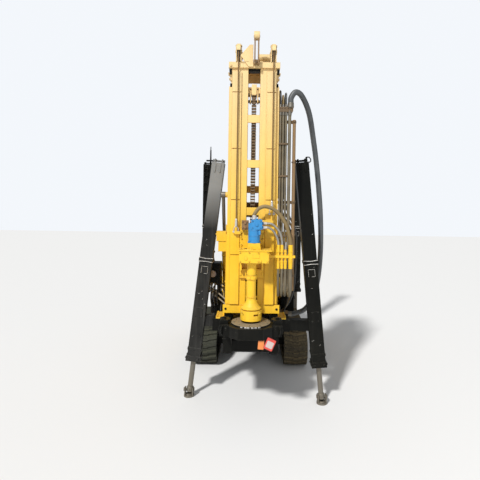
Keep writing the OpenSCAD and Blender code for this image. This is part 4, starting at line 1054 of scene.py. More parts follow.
# The hoses' ends as (place, axis, hose radius, length), for each piece of fittings
def addHoseEnds(h, r, b):
    head = [((x, h["headY"], h["topZ"]), downWay, radius, 0.085) for x, radius in zip(h["headX"], h["radii"])]
    head += [(hose["route"][-1], upWay, hose["radius"], 0.08) for hose in motorHoses]
    head.append(((0.35, -1.65, 1.792), upWay, 0.01, 0.03))
    ports = [(hose["route"][0], axis, hose["radius"], length) for hose, axis, length in zip(
        motorHoses, (outWay, outWay, upWay), (0.04, 0.04, 0.045))]
    mast = [((x, h["clampY"], h["clampZ"]), downWay, radius, 0.05) for x, radius in zip(h["clampX"], h["radii"])]
    mast.append(((0.4, -1.455, 3.345), upWay, airHose["radius"], 0.055))
    mast += [((x, r["startY"], 3.344), upWay, r["radius"], 0.04) for x in r["x"]]
    deck = [((r["endX"], y, 0.85), upWay, r["radius"], 0.04) for y in r["endY"]]
    deck.append((airHose["route"][0], outWay, airHose["radius"], 0.05))
    deck += [(place, axis, b["radius"], 0.032) for place, axis in bankEnds]
    for name, ends, slot, body, paint in (
            ("headFittings", head, "yellow_paint", "head", None),
            ("portFittings", ports, "bare_steel", "head", "paleSteel"),
            ("mastFittings", mast, "bare_steel", "mast", None),
            ("deckFittings", deck, "bare_steel", "root", None)):
        part = Part()
        for end in ends:
            addFerrule(part, *end)
        part.build(name, slot, body, paint)


addHoseEnds(headHoses, rearLines, bank)
print("hose ends, rear lines and valve bank hoses")


# On the mast's top: rope guards over the wheels, pin heads, a black block under the crown block and black pads at
# its corners that are painted shade, and the jib's cap
def addCrown(r):
    part = Part()
    z = r["sheaveZ"]
    for x in r["x"]:
        for y, first, last in zip(r["sheaveY"], (-8, 62), (118, 160)):
            centre = (x - 0.0205, y, z)
            part.plate(arcPoints(centre, 0.0765, first, last, 9) + arcPoints(centre, 0.0805, last, first, 9),
                       (0.041, 0, 0), 0.001)
        for y in r["sheaveY"]:
            for _ in part.bothSides(x):
                part.rod((0.031, y, z), (0.0355, y, z), 0.019, bevel=0.001)
                part.bolts([(0.03, y - 0.018, 4), (0.03, y + 0.018, 4)], outWay, 0.006)
    part.blocks(grid((-0.205, 0.195), -1.36, 3.831), (0.012, 0.02, 0.015), 0.006)
    part.spun([(0.0425, -0.031), (0.0455, -0.029), (0.047, -0.012), (0.047, 0.012), (0.0455, 0.029),
               (0.0425, 0.031)], (0.021, -1.54, 4.089), outWay, 28)
    part.tubes([weld(0.003, (-0.276, -1.5205, 3.7565), (-0.066, -1.5205, 3.7565)),
                weld(0.003, (0.066, -1.5205, 3.7565), (0.276, -1.5205, 3.7565)),
                weld(0.0035, (-0.152, -1.532, 3.819), (-0.066, -1.532, 3.819))])
    part.build("crownParts", "yellow_paint", "mast")
    part = Part()
    # A black block under the crown and black pads at its corners: painted shade where the crown's underside lies
    # in shadow
    part.block((-0.064, -1.49, 3.728), (0.064, -1.4, 3.7545), 0.004)
    for _ in part.bothSides():
        part.block((0.243, -1.5065, 3.684), (0.27, -1.5005, 3.748))
        part.bolts(grid(0.2565, -1.5065, (3.73, 3.702)), frontWay, 0.007)
        part.block((0.24, -1.474, 3.56), (0.262, -1.456, 3.6), 0.003)
    part.rod((0.005, -1.54, 4.1245), (0.037, -1.54, 4.1245), 0.006, 8)
    part.block((0.009, -1.556, 4.118), (0.033, -1.524, 4.1305), 0.003)
    part.build("crownPads", "black_paint", "mast")
    part = Part()
    for _ in part.bothSides():
        part.rod((0.0455, -1.39, 3.424), (0.0635, -1.39, 3.424), 0.017, 6, bevel=0.0015)
        part.band(0.006, 0.026, 0.046, 0.05, (0, -1.39, 3.424), outWay, 20)
        part.block((0.028, -1.446, 3.462), (0.064, -1.43, 3.48), 0.003)
        part.bolts([(0.04, -1.45, 3.545)], frontWay, 0.007)
    part.build("yokeParts", "rusty_steel", "mast", "chainBrown")


addCrown(ropes)

# Mast: weld beads, side pipes with clips, tie edges and the clamp's own bolts
mastParts = {
    "tieZ": [3.213, 2.727, 2.214, 1.52],
    "openings": [(1.25, 1.74), (1.76, 2.33), (2.345, 2.88), (2.895, 3.485)],
    "pipeZ": [1.26, 1.9, 2.6, 3.2, 3.62],
    "clipZ": [1.4, 1.9, 2.55, 3.05, 3.5],
    "clampX": [0.281, 0.305, 0.336, 0.372, 0.417],
    "guideZ": [1.517, 2.317, 3.197],
    "rackZ": [2.95, 2.6, 1.95],
}


def addMastDetails(m):
    part = Part()
    for z in m["tieZ"]:
        for _ in part.bothSides():
            part.tubes([weld(0.0032, (0.0655, -1.4965, z - 0.04), (0.0655, -1.4965, z + 0.04))], 1)
    for _ in part.bothSides():
        beads = [weld(0.0034, (0.24, -1.5005, 1.2065), (0.07, -1.5005, 1.2065)),
                 weld(0.0034, (0.2405, -1.2495, 1.2065), (0.2405, -1.4985, 1.2065)),
                 weld(0.0022, (0.2405, -1.4705, 1.3), (0.2405, -1.4705, 2.3)),
                 weld(0.003, (0.2405, -1.25, 1.64), (0.2405, -1.25, 2.16)),
                 weld(0.003, (0.304, -1.4835, 1.1295), (0.245, -1.4835, 1.1295))]
        for low, high in m["openings"]:
            for z in [low + (high - low) * share for share in (0.125, 0.375, 0.625, 0.875)]:
                beads.append(weld(0.0024, (0.2365, -1.5005, z - 0.03), (0.2365, -1.5005, z + 0.03)))
        part.tubes(beads, 1)
    for _ in part.bothSides():
        part.tubes([([(0.25, -1.31, z) for z in m["pipeZ"]], 0.008)])
        for z in m["clipZ"]:
            part.block((0.2385, -1.322, z - 0.012), (0.262, -1.298, z + 0.012), 0.003)
            part.bolts([(0.262, -1.31, z)], outWay, 0.006)
    part.blocks(grid(-0.253, -1.339, (1.475, 3.375)), (0.009, 0.013, 0.025), 0.003)
    part.build("mastWelds", "yellow_paint", "mast")
    part = Part()
    part.block((0.275, -1.478, 3.296), (0.422, -1.472, 3.352))
    part.block((0.275, -1.419, 3.296), (0.422, -1.412, 3.352))
    part.bolts(grid(m["clampX"], -1.478, 3.34), frontWay, 0.0065)
    for z in m["guideZ"]:
        part.band(0.0185, 0.0225, -0.012, 0.012, (0.445, -1.422, z), upWay, 20)
        part.bolts([(0.445, -1.4445, z)], frontWay, 0.007)
    part.band(0.0185, 0.026, 0, 0.014, (0.445, -1.422, 2.75), upWay, 6)
    for z in m["rackZ"]:
        part.blocks([(0.322, -1.478, z), (0.322, -1.442, z)], (0.05, 0.004, 0.01))
        part.block((0.272, -1.482, z - 0.01), (0.277, -1.438, z + 0.01), 0.001)
    part.build("clampParts", "rusty_steel", "mast", "chainBrown")


addMastDetails(mastParts)
spindleY = -1.66


# Rotary head: bearing cap, motor bands and screws, plugs, sight glass, edges and welds
def addHeadDetails():
    part = Part()
    part.spun([(0.0585, 1.6905), (0.092, 1.6905), (0.092, 1.682), (0.084, 1.676), (0.066, 1.672),
               (0.0585, 1.672)], (0, spindleY, 0), upWay, 32)
    part.boltRing((0, spindleY, 1.6835), downWay, 0.0865, 8, 0.006)
    part.spun([(0.052, 1.823), (0.078, 1.823), (0.074, 1.83), (0.052, 1.831)], (-0.03, -1.7, 0), upWay)
    part.tubes([weld(0.0035, (-0.126, -1.533, 1.5015), (0.126, -1.533, 1.5015)),
                weld(0.0035, (-0.126, -1.5335, 1.692), (-0.126, -1.5335, 1.822)),
                weld(0.003, (0.105, -1.5335, 1.592), (0.105, -1.598, 1.592)),
                weld(0.003, (-0.105, -1.5335, 1.592), (-0.105, -1.598, 1.592)),
                weld(0.003, (0.108, -1.5335, 2.018), (-0.036, -1.5335, 2.018))], 1)
    part.blocks(grid((-0.119, 0.119), -1.5355, (1.545, 1.95)), (0.009, 0.0045, 0.022), 0.003)
    part.rod((-0.06, -1.7695, 1.735), (-0.06, -1.776, 1.735), 0.017, 20, bevel=0.0015)
    part.rod((0.09, -1.7695, 1.712), (0.09, -1.783, 1.712), 0.01, 6, bevel=0.001)
    part.rod((-0.01, -1.755, 1.822), (-0.01, -1.755, 1.848), 0.012, 6, bevel=0.001)
    part.block((0.01, -1.7735, 1.74), (0.08, -1.7695, 1.782), 0.0015)
    part.build("headParts", "yellow_paint", "head")
    part = Part()
    for z in (1.892, 1.96, 2.018):
        part.spun([(0.0608, -0.004), (0.0635, -0.003), (0.0635, 0.003), (0.0608, 0.004)], (0.021, spindleY, z),
                  upWay, 36)
    part.boltRing((0.021, spindleY, 1.9048), upWay, 0.0615, 4, 0.0085, math.pi / 4)
    part.bolts([(x, -1.72, z) for z in (2.113, 2.044) for x in (0.004, 0.088)], frontWay, 0.0065)
    part.rod((0.046, -1.7195, 2.078), (0.046, -1.729, 2.078), 0.017, 6, bevel=0.001)
    part.rod((0.046, -1.7, 2.128), (0.046, -1.7, 2.143), 0.015, 6, bevel=0.001)
    part.rod((0.08, -1.64, 2.128), (0.08, -1.64, 2.138), 0.01, 6, bevel=0.001)
    part.block((0.064, -1.7235, 1.975), (0.088, -1.69, 2.02), 0.003)
    part.build("motorParts", "blue_paint", "head")
    part = Part()
    for z, high in ((1.3255, 0.009), (1.509, 0.006), (1.55, 0.006)):
        part.band(0.0485, 0.0575, 0, high, (0, spindleY, z), upWay, 36)
    part.boltRing((0, spindleY, 1.2175), upWay, 0.092, 6, 0.008, 0.3)
    part.blocksRound((0, spindleY, 1.532), 0.0555, range(12, 360, 60), (0.004, 0.008, 0.014), 0.0015)
    part.build("spindleParts", "yellow_paint", "spindle")


addHeadDetails()


# Table: bright jaws at the round plate's edge, bolts, stops, a lever and hooks on the clamps
def addTable():
    part = Part()
    part.blocksRound((0, spindleY, 1.0585), 0.2065, (-117, -105, -97, -86, -76, -66),
                     (0.004, 0.013, 0.009), 0.002)
    part.build("tableJaws", "bare_steel", "root", "paleSteel")
    part = Part()
    part.boltRing((0, spindleY, 1.069), upWay, 0.178, 10, 0.011, 0.2)
    part.spun([(0.097, 1.0685), (0.0975, 1.0745), (0.128, 1.0745), (0.13, 1.0712), (0.2015, 1.0712),
               (0.2045, 1.0695), (0.2045, 1.06)], (0, spindleY, 0), upWay, 56)
    part.build("tablePlateParts", "rusty_steel", "root", "wornPlate")
    part = Part()
    for _ in part.bothSides():
        part.bolts(grid(0.303, (-1.715, -1.665), 1.101), upWay, 0.009)
        part.spun([(0.02, 0), (0.024, 0.002), (0.024, 0.006), (0.02, 0.008)], (0.276, -1.665, 1.1), upWay, 20)
        part.block((0.238, -1.775, 1), (0.262, -1.764, 1.045), 0.003)
        part.bolts([(0.25, -1.775, 1.022)], frontWay, 0.009)
        part.tubes([([(0.285, -1.766, 1.05), (0.292, -1.79, 1.052), (0.3, -1.795, 1.03), (0.3, -1.79, 0.985),
                      (0.292, -1.772, 0.965)], 0.007)])
        part.blocks(grid(0.2985, (-1.6, -1.53), 1.067), (0.0135, 0.02, 0.011), 0.004)
        part.block((0.318, -1.74, 0.965), (0.326, -1.55, 1.04), 0.003)
        part.bolts(grid(0.326, (-1.72, -1.645, -1.57), 1.003), outWay, 0.009)
    edge = [(-0.21492, -1.8035), (-0.124375, -1.8875), (0.124375, -1.8875), (0.21492, -1.8035)]
    for z in (0.951, 1.05):
        part.tubes([weld(0.0028, *[(x, y, z) for x, y in edge])], 1)
    for _ in part.bothSides():
        part.plate([(0.2, -1.56, 0.945), (0.2, -1.7, 0.945), (0.2, -1.5, 0.76), (0.2, -1.5, 0.945)],
                   (0.01, 0, 0), 0.001)
    part.build("tableParts", "black_paint", "root")


addTable()

# Two blank cards that hang under the table on wire, the red one with a white sheet
cards = [
    {"name": "cardOrange", "paint": "orangeCard", "x": 0.104, "y": -1.872, "z": 0.905, "turn": 4,
     "half": (0.03, 0.052), "thick": 0.001, "wire": True},
    {"name": "cardRed", "paint": "redCard", "x": 0.19, "y": -1.872, "z": 0.905, "turn": 24,
     "half": (0.046, 0.058), "thick": 0.001, "wire": True},
    {"name": "cardWhite", "paint": "whiteCard", "x": 0.19, "y": -1.8734, "z": 0.901, "turn": 24,
     "half": (0.035, 0.034), "thick": 0.0006, "wire": False},
]


def addCard(c):
    part = Part()
    move = Matrix.Translation((c["x"], c["y"], c["z"])) @ Matrix.Rotation(math.radians(c["turn"]), 4, "Y")
    w, h = c["half"]
    cut = 0.006
    outline = [(cut - w, -h), (w - cut, -h), (w, cut - h), (w, h - cut), (w - cut, h), (cut - w, h),
               (-w, h - cut), (-w, cut - h)]
    part.plate([move @ Vector((x, 0, z)) for x, z in outline], (0, -c["thick"], 0), 0)
    if c["wire"]:
        top = move @ Vector((0, -0.0005, h - 0.008))
        part.tubes([([top, top + Vector((0.003, 0.004, 0.012)), (top.x, -1.862, 0.948)], 0.0013)], 1)
        part.band(0.0018, 0.004, -0.0018, 0.0018, top, backWay, 12)
    part.build(c["name"], "bare_steel", "root", c["paint"])


for card in cards:
    addCard(card)
print("crown, mast, head and table")

# Legs, each leaning in its own plane, with the ends of their outer tubes
legs = {
    "near_left": {"topX": -0.41, "footX": -0.724, "y": -1.03, "low": 0.44, "high": 2.78},
    "near_right": {"topX": 0.56, "footX": 0.835, "y": -1.17, "low": 0.44, "high": 2.78},
    "far_left": {"topX": -0.835, "footX": -0.835, "y": 1.66, "low": 0.7, "high": 3.04},
    "far_right": {"topX": 0.835, "footX": 0.835, "y": 1.8, "low": 0.7, "high": 3.04},
}


# Built upright, with its foot at the origin
def addLegFittings(name, start, end, move):
    part = Part()
    h = 0.0755
    for s in (start + 0.062, start + 0.13, start + 0.16):
        part.tubes([weld(0.0032, (-h, -h, s), (h, -h, s), (h, h, s), (-h, h, s), (-h, -h, s))], 1)
    for x, y in ((1, 0), (-1, 0), (0, 1), (0, -1)):
        part.bolts([(0.087 * x - step * y, 0.087 * y + step * x, start + 0.03) for step in (-0.055, 0.055)],
                   (x, y, 0), 0.011)
    for _ in part.bothSides():
        part.rod((0.052, 0, start + 0.145), (0.0835, 0, start + 0.145), 0.012, 12, bevel=0.001)
        part.rod((0.06, 0, end + 0.024), (0.068, 0, end + 0.024), 0.019, bevel=0.001)
        part.block((0.02, -0.0815, end - 0.12), (0.04, -0.0745, end - 0.02), 0.003)
        part.tubes([([(0.07, 0.004, end + 0.012), (0.07, 0.004, end + 0.04)], 0.0025)])
    part.block((-0.046, -0.0785, start + 0.52), (0.046, -0.0745, start + 0.64))
    part.bolts(grid((-0.036, 0.036), -0.0785, (start + 0.532, start + 0.628)), frontWay, 0.006)
    part.rod((0.045, -0.0745, start + 0.3), (0.045, -0.086, start + 0.3), 0.008, 8, bevel=0.001)
    if name == "far_left":  # clips with pins and a post on top
        for s in (2.52, 2.66, 2.8, 2.92):
            part.blocks(grid((-0.052, 0.008), -0.0895, s + 0.035), (0.008, 0.0155, 0.035), 0.003)
            part.rod((-0.07, -0.092, s + 0.035), (0.026, -0.092, s + 0.035), 0.008, 10)
        part.rod((0.05, 0, end - 0.005), (0.05, 0, end + 0.27), 0.016, 14, 0.012, bevel=0.002)
        part.rod((0.05, 0, end + 0.268), (0.05, 0, end + 0.33), 0.008, 10, bevel=0.001)
        part.block((-0.03, -0.03, end + 0.06), (0.11, 0.03, end + 0.085), 0.004)
    if name == "near_right":  # a clip with a bent pipe on top
        part.block((0.052, -0.03, end - 0.004), (0.068, 0.03, end + 0.066), 0.004)
        part.tubes([([(0.06, -0.02, end + 0.06), (0.086, -0.045, end + 0.055), (0.1, -0.06, end + 0.03),
                      (0.098, -0.068, end + 0.005), (0.085, -0.07, end - 0.008), (0.074, -0.068, end + 0.004)],
                     0.0065)])
    bmesh.ops.transform(part.bm, matrix=move, verts=part.bm.verts)
    return part


# Bright wires round the tube, a bare outline and scratches
def addLegMarks(start, move):
    part = Part()
    for s, wobble in ((start + 1.2225, 0.004), (start + 1.1815, -0.003)):
        part.tubes([weld(0.0042, (-0.082, -0.0822, s + wobble), (0, -0.0832, s - wobble),
                         (0.082, -0.0822, s + wobble * 0.5), (0.0825, 0.03, s))], 1)
    low, high = start + 1.042, start + 1.124
    part.tubes([weld(0.0022, *[(x, -0.0835, z) for x, z in (
        (-0.037, low), (-0.037, high), (0.037, high), (0.037, low), (-0.004, low))])], 1)
    for _ in range(7):
        x, s = chance.uniform(-0.065, 0.06), start + chance.uniform(0.1, 1.9)
        part.tubes([weld(0.0014, (x, -0.0748, s), (x + chance.uniform(0.006, 0.02), -0.0748, s + 0.006))], 1)
    bmesh.ops.transform(part.bm, matrix=move, verts=part.bm.verts)
    return part


def addFoot(name, x, y, move):
    part = Part()
    for _ in part.bothSides(x):
        part.rod((0.057, y, 0.08), (0.063, y, 0.08), 0.019, 14, bevel=0.001)
        part.tubes([([(0.061, y - 0.016, 0.062), (0.061, y - 0.004, 0.08), (0.061, y + 0.014, 0.1)], 0.0022),
                    weld(0.003, (0.0525, y - 0.036, 0.023), (0.0525, y + 0.024, 0.023))])
    part.spun([(0.02, 0.0215), (0.044, 0.0215), (0.04, 0.03), (0.026, 0.034), (0.02, 0.034)],
              (x, y, 0), upWay, 28)
    axis = move.to_3x3() @ Vector(upWay)
    part.spun([(0.0303, 0.06), (0.0375, 0.06), (0.0385, 0.066), (0.0385, 0.112), (0.035, 0.12), (0.0303, 0.122)],
              (x, y, 0), axis)
    part.bolts([Vector((x, y - 0.0385, 0)) + axis * 0.09], frontWay, 0.006)
    part.build(f"footParts{name.title().replace('_', '')}", "bare_steel", f"jack_{name}")


for name, leg in legs.items():
    lean = math.atan2(leg["topX"] - leg["footX"], leg["high"])
    move = Matrix.Translation((leg["footX"], leg["y"], 0)) @ Matrix.Rotation(lean, 4, "Y")
    start, end = leg["low"] / math.cos(lean), leg["high"] / math.cos(lean)
    body, label = f"leg_{name}", name.title().replace("_", "")
    fittings, marks = addLegFittings(name, start, end, move), addLegMarks(start, move)
    fittings.build(f"legFittings{label}", "black_paint", body, ownFinish.get(body))
    marks.build(f"legMarks{label}", "black_paint", body, "paleSteel")
    addFoot(name, leg["footX"], leg["y"], move)

# Bonnet, doors, radiator and exhaust
bonnet = {
    "half": 0.4,
    "low": 0.852,
    "corner": 0.09,
    "top": 1.72,
    "rims": [-0.1895, 1.4585],
    "seams": [0.055, 0.64, 1.135],
    "lids": [-0.26, 0.26],
    "pipe": (0.12, 0.62),
    "fan": (0, 1.228, 1.19),
}


def addBonnet(b):
    part = Part()
    half, corner, top = b["half"], b["corner"], b["top"]
    profile = [(-half, b["low"]), (-half, top - corner), (corner - half, top), (half - corner, top),
               (half, top - corner), (half, b["low"])]
    for y in b["rims"]:
        rim = [(x * 1.002, y, z + (0.002 if z > 1 else 0)) for x, z in profile]
        part.tubes([(evenRoute(rim, 0.08), 0.0065)])
    for y in b["seams"]:
        part.tubes([(evenRoute([(x * 1.0005, y, z + 0.0005) for x, z in profile[1:5]], 0.08), 0.0035)])
    for _ in part.bothSides():
        part.tubes([(evenSteps((0.4005, -0.185, 1.628), (0.4005, 1.455, 1.628), 0.1), 0.0045)])
        part.blocks(grid(0.4055, (-0.12, -0.04), (1.029, 1.129, 1.229, 1.329, 1.429)),
                    (0.0065, 0.03, 0.009), 0.004)
        row = [-0.165 + 0.108 * k for k in range(16)]
        part.rivets(grid(half, row, 0.88), outWay)
        part.rivets([(half, y, 1.605) for y in row if not 0.03 < y < 1.15], outWay)
        part.rivets(grid(half, (-0.17, 1.44, 1.16), (0.955, 1.11, 1.265, 1.42, 1.575)), outWay)
    part.rivets(grid((-0.24, 0.24), (0.12, 0.3, 0.48, 0.8, 0.98, 1.24, 1.38), top), upWay)
    part.rivets(grid(0, (0.12, 0.3, 0.98, 1.24, 1.38), top), upWay)
    handle = [(-0.035, -0.002), (-0.033, 0.022), (-0.02, 0.032), (0.02, 0.032), (0.033, 0.022),
              (0.035, -0.002)]
    for x, y in product(b["lids"], (-0.06, 1.3)):
        part.tubes([([(x, y + along, top + up) for along, up in handle], 0.006)])
        for end in (-0.035, 0.035):
            part.spun([(0.001, 0.004), (0.013, 0.004), (0.015, 0)], (x, y + end, top), upWay, 14)
    part.spun([(0.047, 0), (0.06, 0), (0.06, 0.004), (0.05, 0.008), (0.05, 0.02), (0.047, 0.02)],
              (*b["pipe"], top), upWay, 28)
    part.boltRing((*b["pipe"], top + 0.003), upWay, 0.0555, 4, 0.004)
    part.tubes([(evenRoute([(x, 1.4615, z) for x, z in (
        (-0.3, 0.965), (0.3, 0.965), (0.3, 1.56), (-0.3, 1.56), (-0.3, 0.965))], 0.1), 0.007)])
    part.bolts(grid((-0.33, 0.33), 1.4605, (0.98, 1.26, 1.54)), backWay, 0.008)
    part.build("bonnetTrim", "yellow_paint", "root")


def addDoors():
    x = 0.4005
    for side, label in ((-1, "left"), (1, "right")):
        part = Part(side)
        for near, far, low, high, radius in ((0.085, 1.105, 0.995, 1.56, 0.004),
                                             (0.27, 0.92, 1.04, 1.535, 0.0055)):
            frame = [(x, near, low), (x, far, low), (x, far, high), (x, near, high), (x, near, low)]
            part.tubes([(evenRoute(frame, 0.1), radius)])
        for place in grid(x, [0.3 + 0.059 * k for k in range(11)], (1.04, 1.535)):
            part.spun([(0.001, 0.007), (0.005, 0.006), (0.0065, 0)], place, outWay, 8)
        part.build(f"doorTrim{label.title()}", "yellow_paint", f"door_{label}")
        part = Part(side)
        for y in (0.17, 1.02):
            part.block((x, y - 0.03, 1.015), (x + 0.008, y + 0.03, 1.075), 0.003)
            part.spun([(0.001, 0.018), (0.011, 0.018), (0.013, 0.014), (0.013, 0.007)], (x, y, 1.05), outWay, 18)
            part.block((x + 0.016, y - 0.004, 1.028), (x + 0.021, y + 0.004, 1.05), 0.0015)
        part.tubes([([(x, 0.555, 1.01), (x + 0.022, 0.557, 1.01), (x + 0.027, 0.57, 1.01),
                      (x + 0.027, 0.62, 1.01), (x + 0.022, 0.633, 1.01), (x, 0.635, 1.01)], 0.005)])
        part.build(f"doorLatches{label.title()}", "bare_steel", f"door_{label}")


def addRadiator(b):
    part = Part()
    part.blocks(grid([-0.263 + 0.0212 * k for k in range(26)], 1.338, 1.18), (0.002, 0.007, 0.3), 0)
    part.block((-0.285, 1.3305, 1.485), (0.285, 1.352, 1.505), 0.004)
    part.block((-0.285, 1.3305, 0.862), (0.285, 1.352, 0.878), 0.004)
    x, y, z = b["fan"]
    part.band(0.236, 0.242, -0.012, 0.002, (x, y + 0.01, z), frontWay, 48)
    for k in range(7):
        a = 2 * math.pi * k / 7
        part.blocks([(x + 0.125 * math.cos(a), y, z - 0.125 * math.sin(a))], (0.085, 0.003, 0.034), 0.002,
                    Matrix.Rotation(a, 4, "Y") @ Matrix.Rotation(math.radians(25), 4, "X"))
    part.spun([(0.001, 0.022), (0.04, 0.02), (0.048, 0.012), (0.048, -0.01)], b["fan"], frontWay)
    part.build("radiatorParts", "black_paint", "root")


def addExhaust(b):
    part = Part()
    x, y = b["pipe"]
    part.band(0.0352, 0.0405, -0.012, 0.012, (x, y, 1.775), upWay)
    part.block((0.156, 0.608, 1.766), (0.176, 0.632, 1.784), 0.003)
    part.bolts([(0.166, 0.608, 1.775)], frontWay, 0.006)
    part.tubes([([(x + dx, y + dy, 1.88) for dx, dy in circle(0.046, 0, 360, 20)], 0.003)])
    part.rod((0.075, 0.57, 1.884), (0.165, 0.57, 1.884), 0.005, 10)
    part.build("exhaustParts", "rusty_steel", "root")


addBonnet(bonnet)
addDoors()
addRadiator(bonnet)
addExhaust(bonnet)


# Hydraulic tank, fuel tank and their straps
def addTanks():
    part = Part()
    part.spun([(0.0455, 0), (0.05, 0.003), (0.05, 0.03), (0.046, 0.036), (0.02, 0.042), (0.001, 0.042)],
              (-0.08, -0.48, 1.4405), upWay)
    part.blocksRound((-0.08, -0.48, 1.458), 0.05, range(0, 360, 30), (0.003, 0.005, 0.014), 0.001)
    part.band(0.06, 0.085, 1.4405, 1.448, (-0.2, -0.62, 0), upWay, 28)
    part.boltRing((-0.2, -0.62, 1.446), upWay, 0.073, 6, 0.006)
    part.rod((-0.225, -0.78, 1.44), (-0.225, -0.78, 1.49), 0.016, 16, 0.013, bevel=0.002)
    left, right, front, back, top = -0.2845, -0.0155, -0.83, -0.4005, 1.4405
    part.tubes([weld(0.003, (left, -0.8305, 0.855), (left, -0.8305, 1.438)),
                weld(0.003, (right, -0.8305, 0.855), (right, -0.8305, 1.438)),
                weld(0.003, (left, front, top), (right, front, top), (right, back, top), (left, back, top),
                     (left, front, top))], 1)
    for z in (1.18, 1.225, 1.27):
        part.rod((left, -0.7475, z), (left - 0.003, -0.7475, z), 0.014, 6)
    part.build("hydraulicTankParts", "yellow_paint", "root")
    part = Part()
    part.rod((-0.05, -0.833, 1.12), (-0.05, -0.833, 1.38), 0.007, 10)
    for z in (1.115, 1.385):
        part.blocks([(-0.05, -0.837, z)], (0.014, 0.008, 0.012), 0.003)
        part.bolts([(-0.05, -0.845, z)], frontWay, 0.007)
    size = Vector((0.0016, 0.014, 0.0016))
    strap = [(0.288, 0.855), (0.288, 1.1), (0.288, 1.339), (0.284, 1.3435), (0.15, 1.3435), (0.016, 1.3435),
             (0.0125, 1.339), (0.0125, 1.1), (0.0125, 0.855)]
    for y in (-0.76, -0.47):
        for (x, z), (nextX, nextZ) in zip(strap, strap[1:]):
            part.block(Vector((min(x, nextX), y, min(z, nextZ))) - size,
                       Vector((max(x, nextX), y, max(z, nextZ))) + size, 0)
        part.bolts([(0.29, y, 0.9)], outWay, 0.008)
    part.build("tankStraps", "bare_steel", "root")


addTanks()

# Console: lever bellows and knobs, edge pipes, buttons and a gauge
console = {
    "gauge": (-0.47, -0.925, 1.44),
    "needle": -40,
    "levers": 6,
    "leverStep": 0.038,
    "edges": [-0.556, -0.388],
}


def addConsole(c):
    part = Part()
    part.spun([(0.0405, 0), (0.045, 0.003), (0.045, 0.034), (0.04, 0.046), (0.001, 0.048)],
              (0.2, -0.48, 1.3405), upWay)  # the fuel tank's cap
    part.tubes([([(0.16, -0.48, 1.388), (0.18, -0.48, 1.396), (0.22, -0.48, 1.396), (0.24, -0.48, 1.388)],
                 0.004)])
    for y in [-0.825 + c["leverStep"] * i for i in range(c["levers"])]:
        part.spun([(0.0065, 0.045), (0.01, 0.038), (0.0085, 0.03), (0.013, 0.022), (0.011, 0.014), (0.017, 0.004),
                   (0.017, 0)], (-0.49, y, 1.56), upWay, 14)
        part.spun([(0.001, 0.0185), (0.009, 0.0165), (0.0155, 0.009), (0.0172, 0), (0.0155, -0.008),
                   (0.008, -0.017), (0.0065, -0.024)], (-0.49, y, 1.68), upWay, 14)
    edge = [(-0.896, 1.335), (-0.896, 1.497), (-0.84, 1.5565), (-0.62, 1.5565), (-0.564, 1.502), (-0.564, 1.335)]
    part.tubes([([(x, y, z) for y, z in edge], 0.005) for x in c["edges"]])
    part.block((-0.47, -0.88, 1.325), (-0.4, -0.6, 1.3315))
    part.bolts(grid((-0.545, -0.4), -0.9, (1.35, 1.478)), frontWay, 0.006)
    part.block((-0.408, -0.905, 1.36), (-0.392, -0.899, 1.46))
    for z in (1.378, 1.41, 1.442):
        part.rod((-0.425, -0.899, z), (-0.425, -0.909, z), 0.008, 12, bevel=0.001)
    part.build("consoleParts", "black_paint", "root")
    part = Part()
    part.spun([(0.001, 0.0005), (0.04, 0.0005), (0.041, 0.001)], c["gauge"], frontWay, 28)
    part.build("gaugeDial", "bare_steel", "root", "whiteCard")
    part = Part()
    part.spun([(0.0405, 0), (0.0405, 0.006), (0.0465, 0.006), (0.047, 0.002), (0.047, -0.006), (0.0462, -0.008)],
              c["gauge"], frontWay, 28)
    x, y, z = c["gauge"]
    part.block((x - 0.001, -0.929, 1.436), (x + 0.001, -0.927, 1.468), 0,
               Matrix.Rotation(math.radians(c["needle"]), 4, "Y"))
    for k in range(9):
        a = math.radians(32.5 * k - 40)
        part.blocks([(x - 0.034 * math.cos(a), -0.9265, z + 0.034 * math.sin(a))], (0.004, 0.0004, 0.0007), 0,
                    Matrix.Rotation(a, 4, "Y"))
    part.build("gaugeRim", "black_paint", "root")


addConsole(console)


# Valve bank with its filter, the air manifold and the tool box
def addDeckBoxes(b):
    part = Part()
    for x in b["x"]:
        part.bolts(grid(x, -0.785, (0.95, 1.078)), frontWay, 0.0055)
        part.spun([(0.0135, 0), (0.0155, 0.003), (0.0155, 0.026), (0.0135, 0.029)],
                  (x, -0.786, 1.05), frontWay, 14)
        part.blocks([(x, -0.787, 0.9985)], (0.01, 0.003, 0.0135))
    part.spun([(0.0455, 0), (0.0475, 0.004), (0.0475, 0.02), (0.0455, 0.024)], (-0.47, -0.6, 1), upWay)
    part.spun([(0.0455, 0), (0.05, 0.002), (0.05, 0.03), (0.03, 0.04), (0.001, 0.041)],
              (-0.47, -0.6, 1.145), upWay)
    part.build("valveBankParts", "engine_grey", "root")
    part = Part()
    part.band(0.0425, 0.06, 0.008, 0.02, (0.41, -0.66, 0.9), outWay, 28)
    part.boltRing((0.43, -0.66, 0.9), outWay, 0.052, 6, 0.0065)
    part.rod((0.37, -0.64, 0.939), (0.37, -0.64, 0.99), 0.011, 12)
    part.rod((0.37, -0.7, 0.985), (0.37, -0.58, 0.985), 0.008, 10, bevel=0.002)
    part.bolts(grid((0.345, 0.395), -0.72, (0.915, 0.87)), frontWay, 0.008)
    part.build("manifoldParts", "bare_steel", "root")
    part = Part()
    for x in (0.43, 0.52):
        part.block((x - 0.014, -0.572, 1.13), (x + 0.014, -0.559, 1.172), 0.003)
        part.tubes([([(x, -0.574, 1.165), (x, -0.58, 1.15), (x, -0.578, 1.135)], 0.003)])
    part.blocks(grid((0.405, 0.547), (-0.545, -0.285), 1.17425), (0.012, 0.012, 0.01025), 0.003)
    part.tubes([([(x, y, 1.06) for x, y in ((0.5605, -0.47), (0.582, -0.468), (0.587, -0.45), (0.587, -0.39),
                                            (0.582, -0.372), (0.5605, -0.37))], 0.005)])
    part.build("toolBoxParts", "black_paint", "root")


addDeckBoxes(bank)


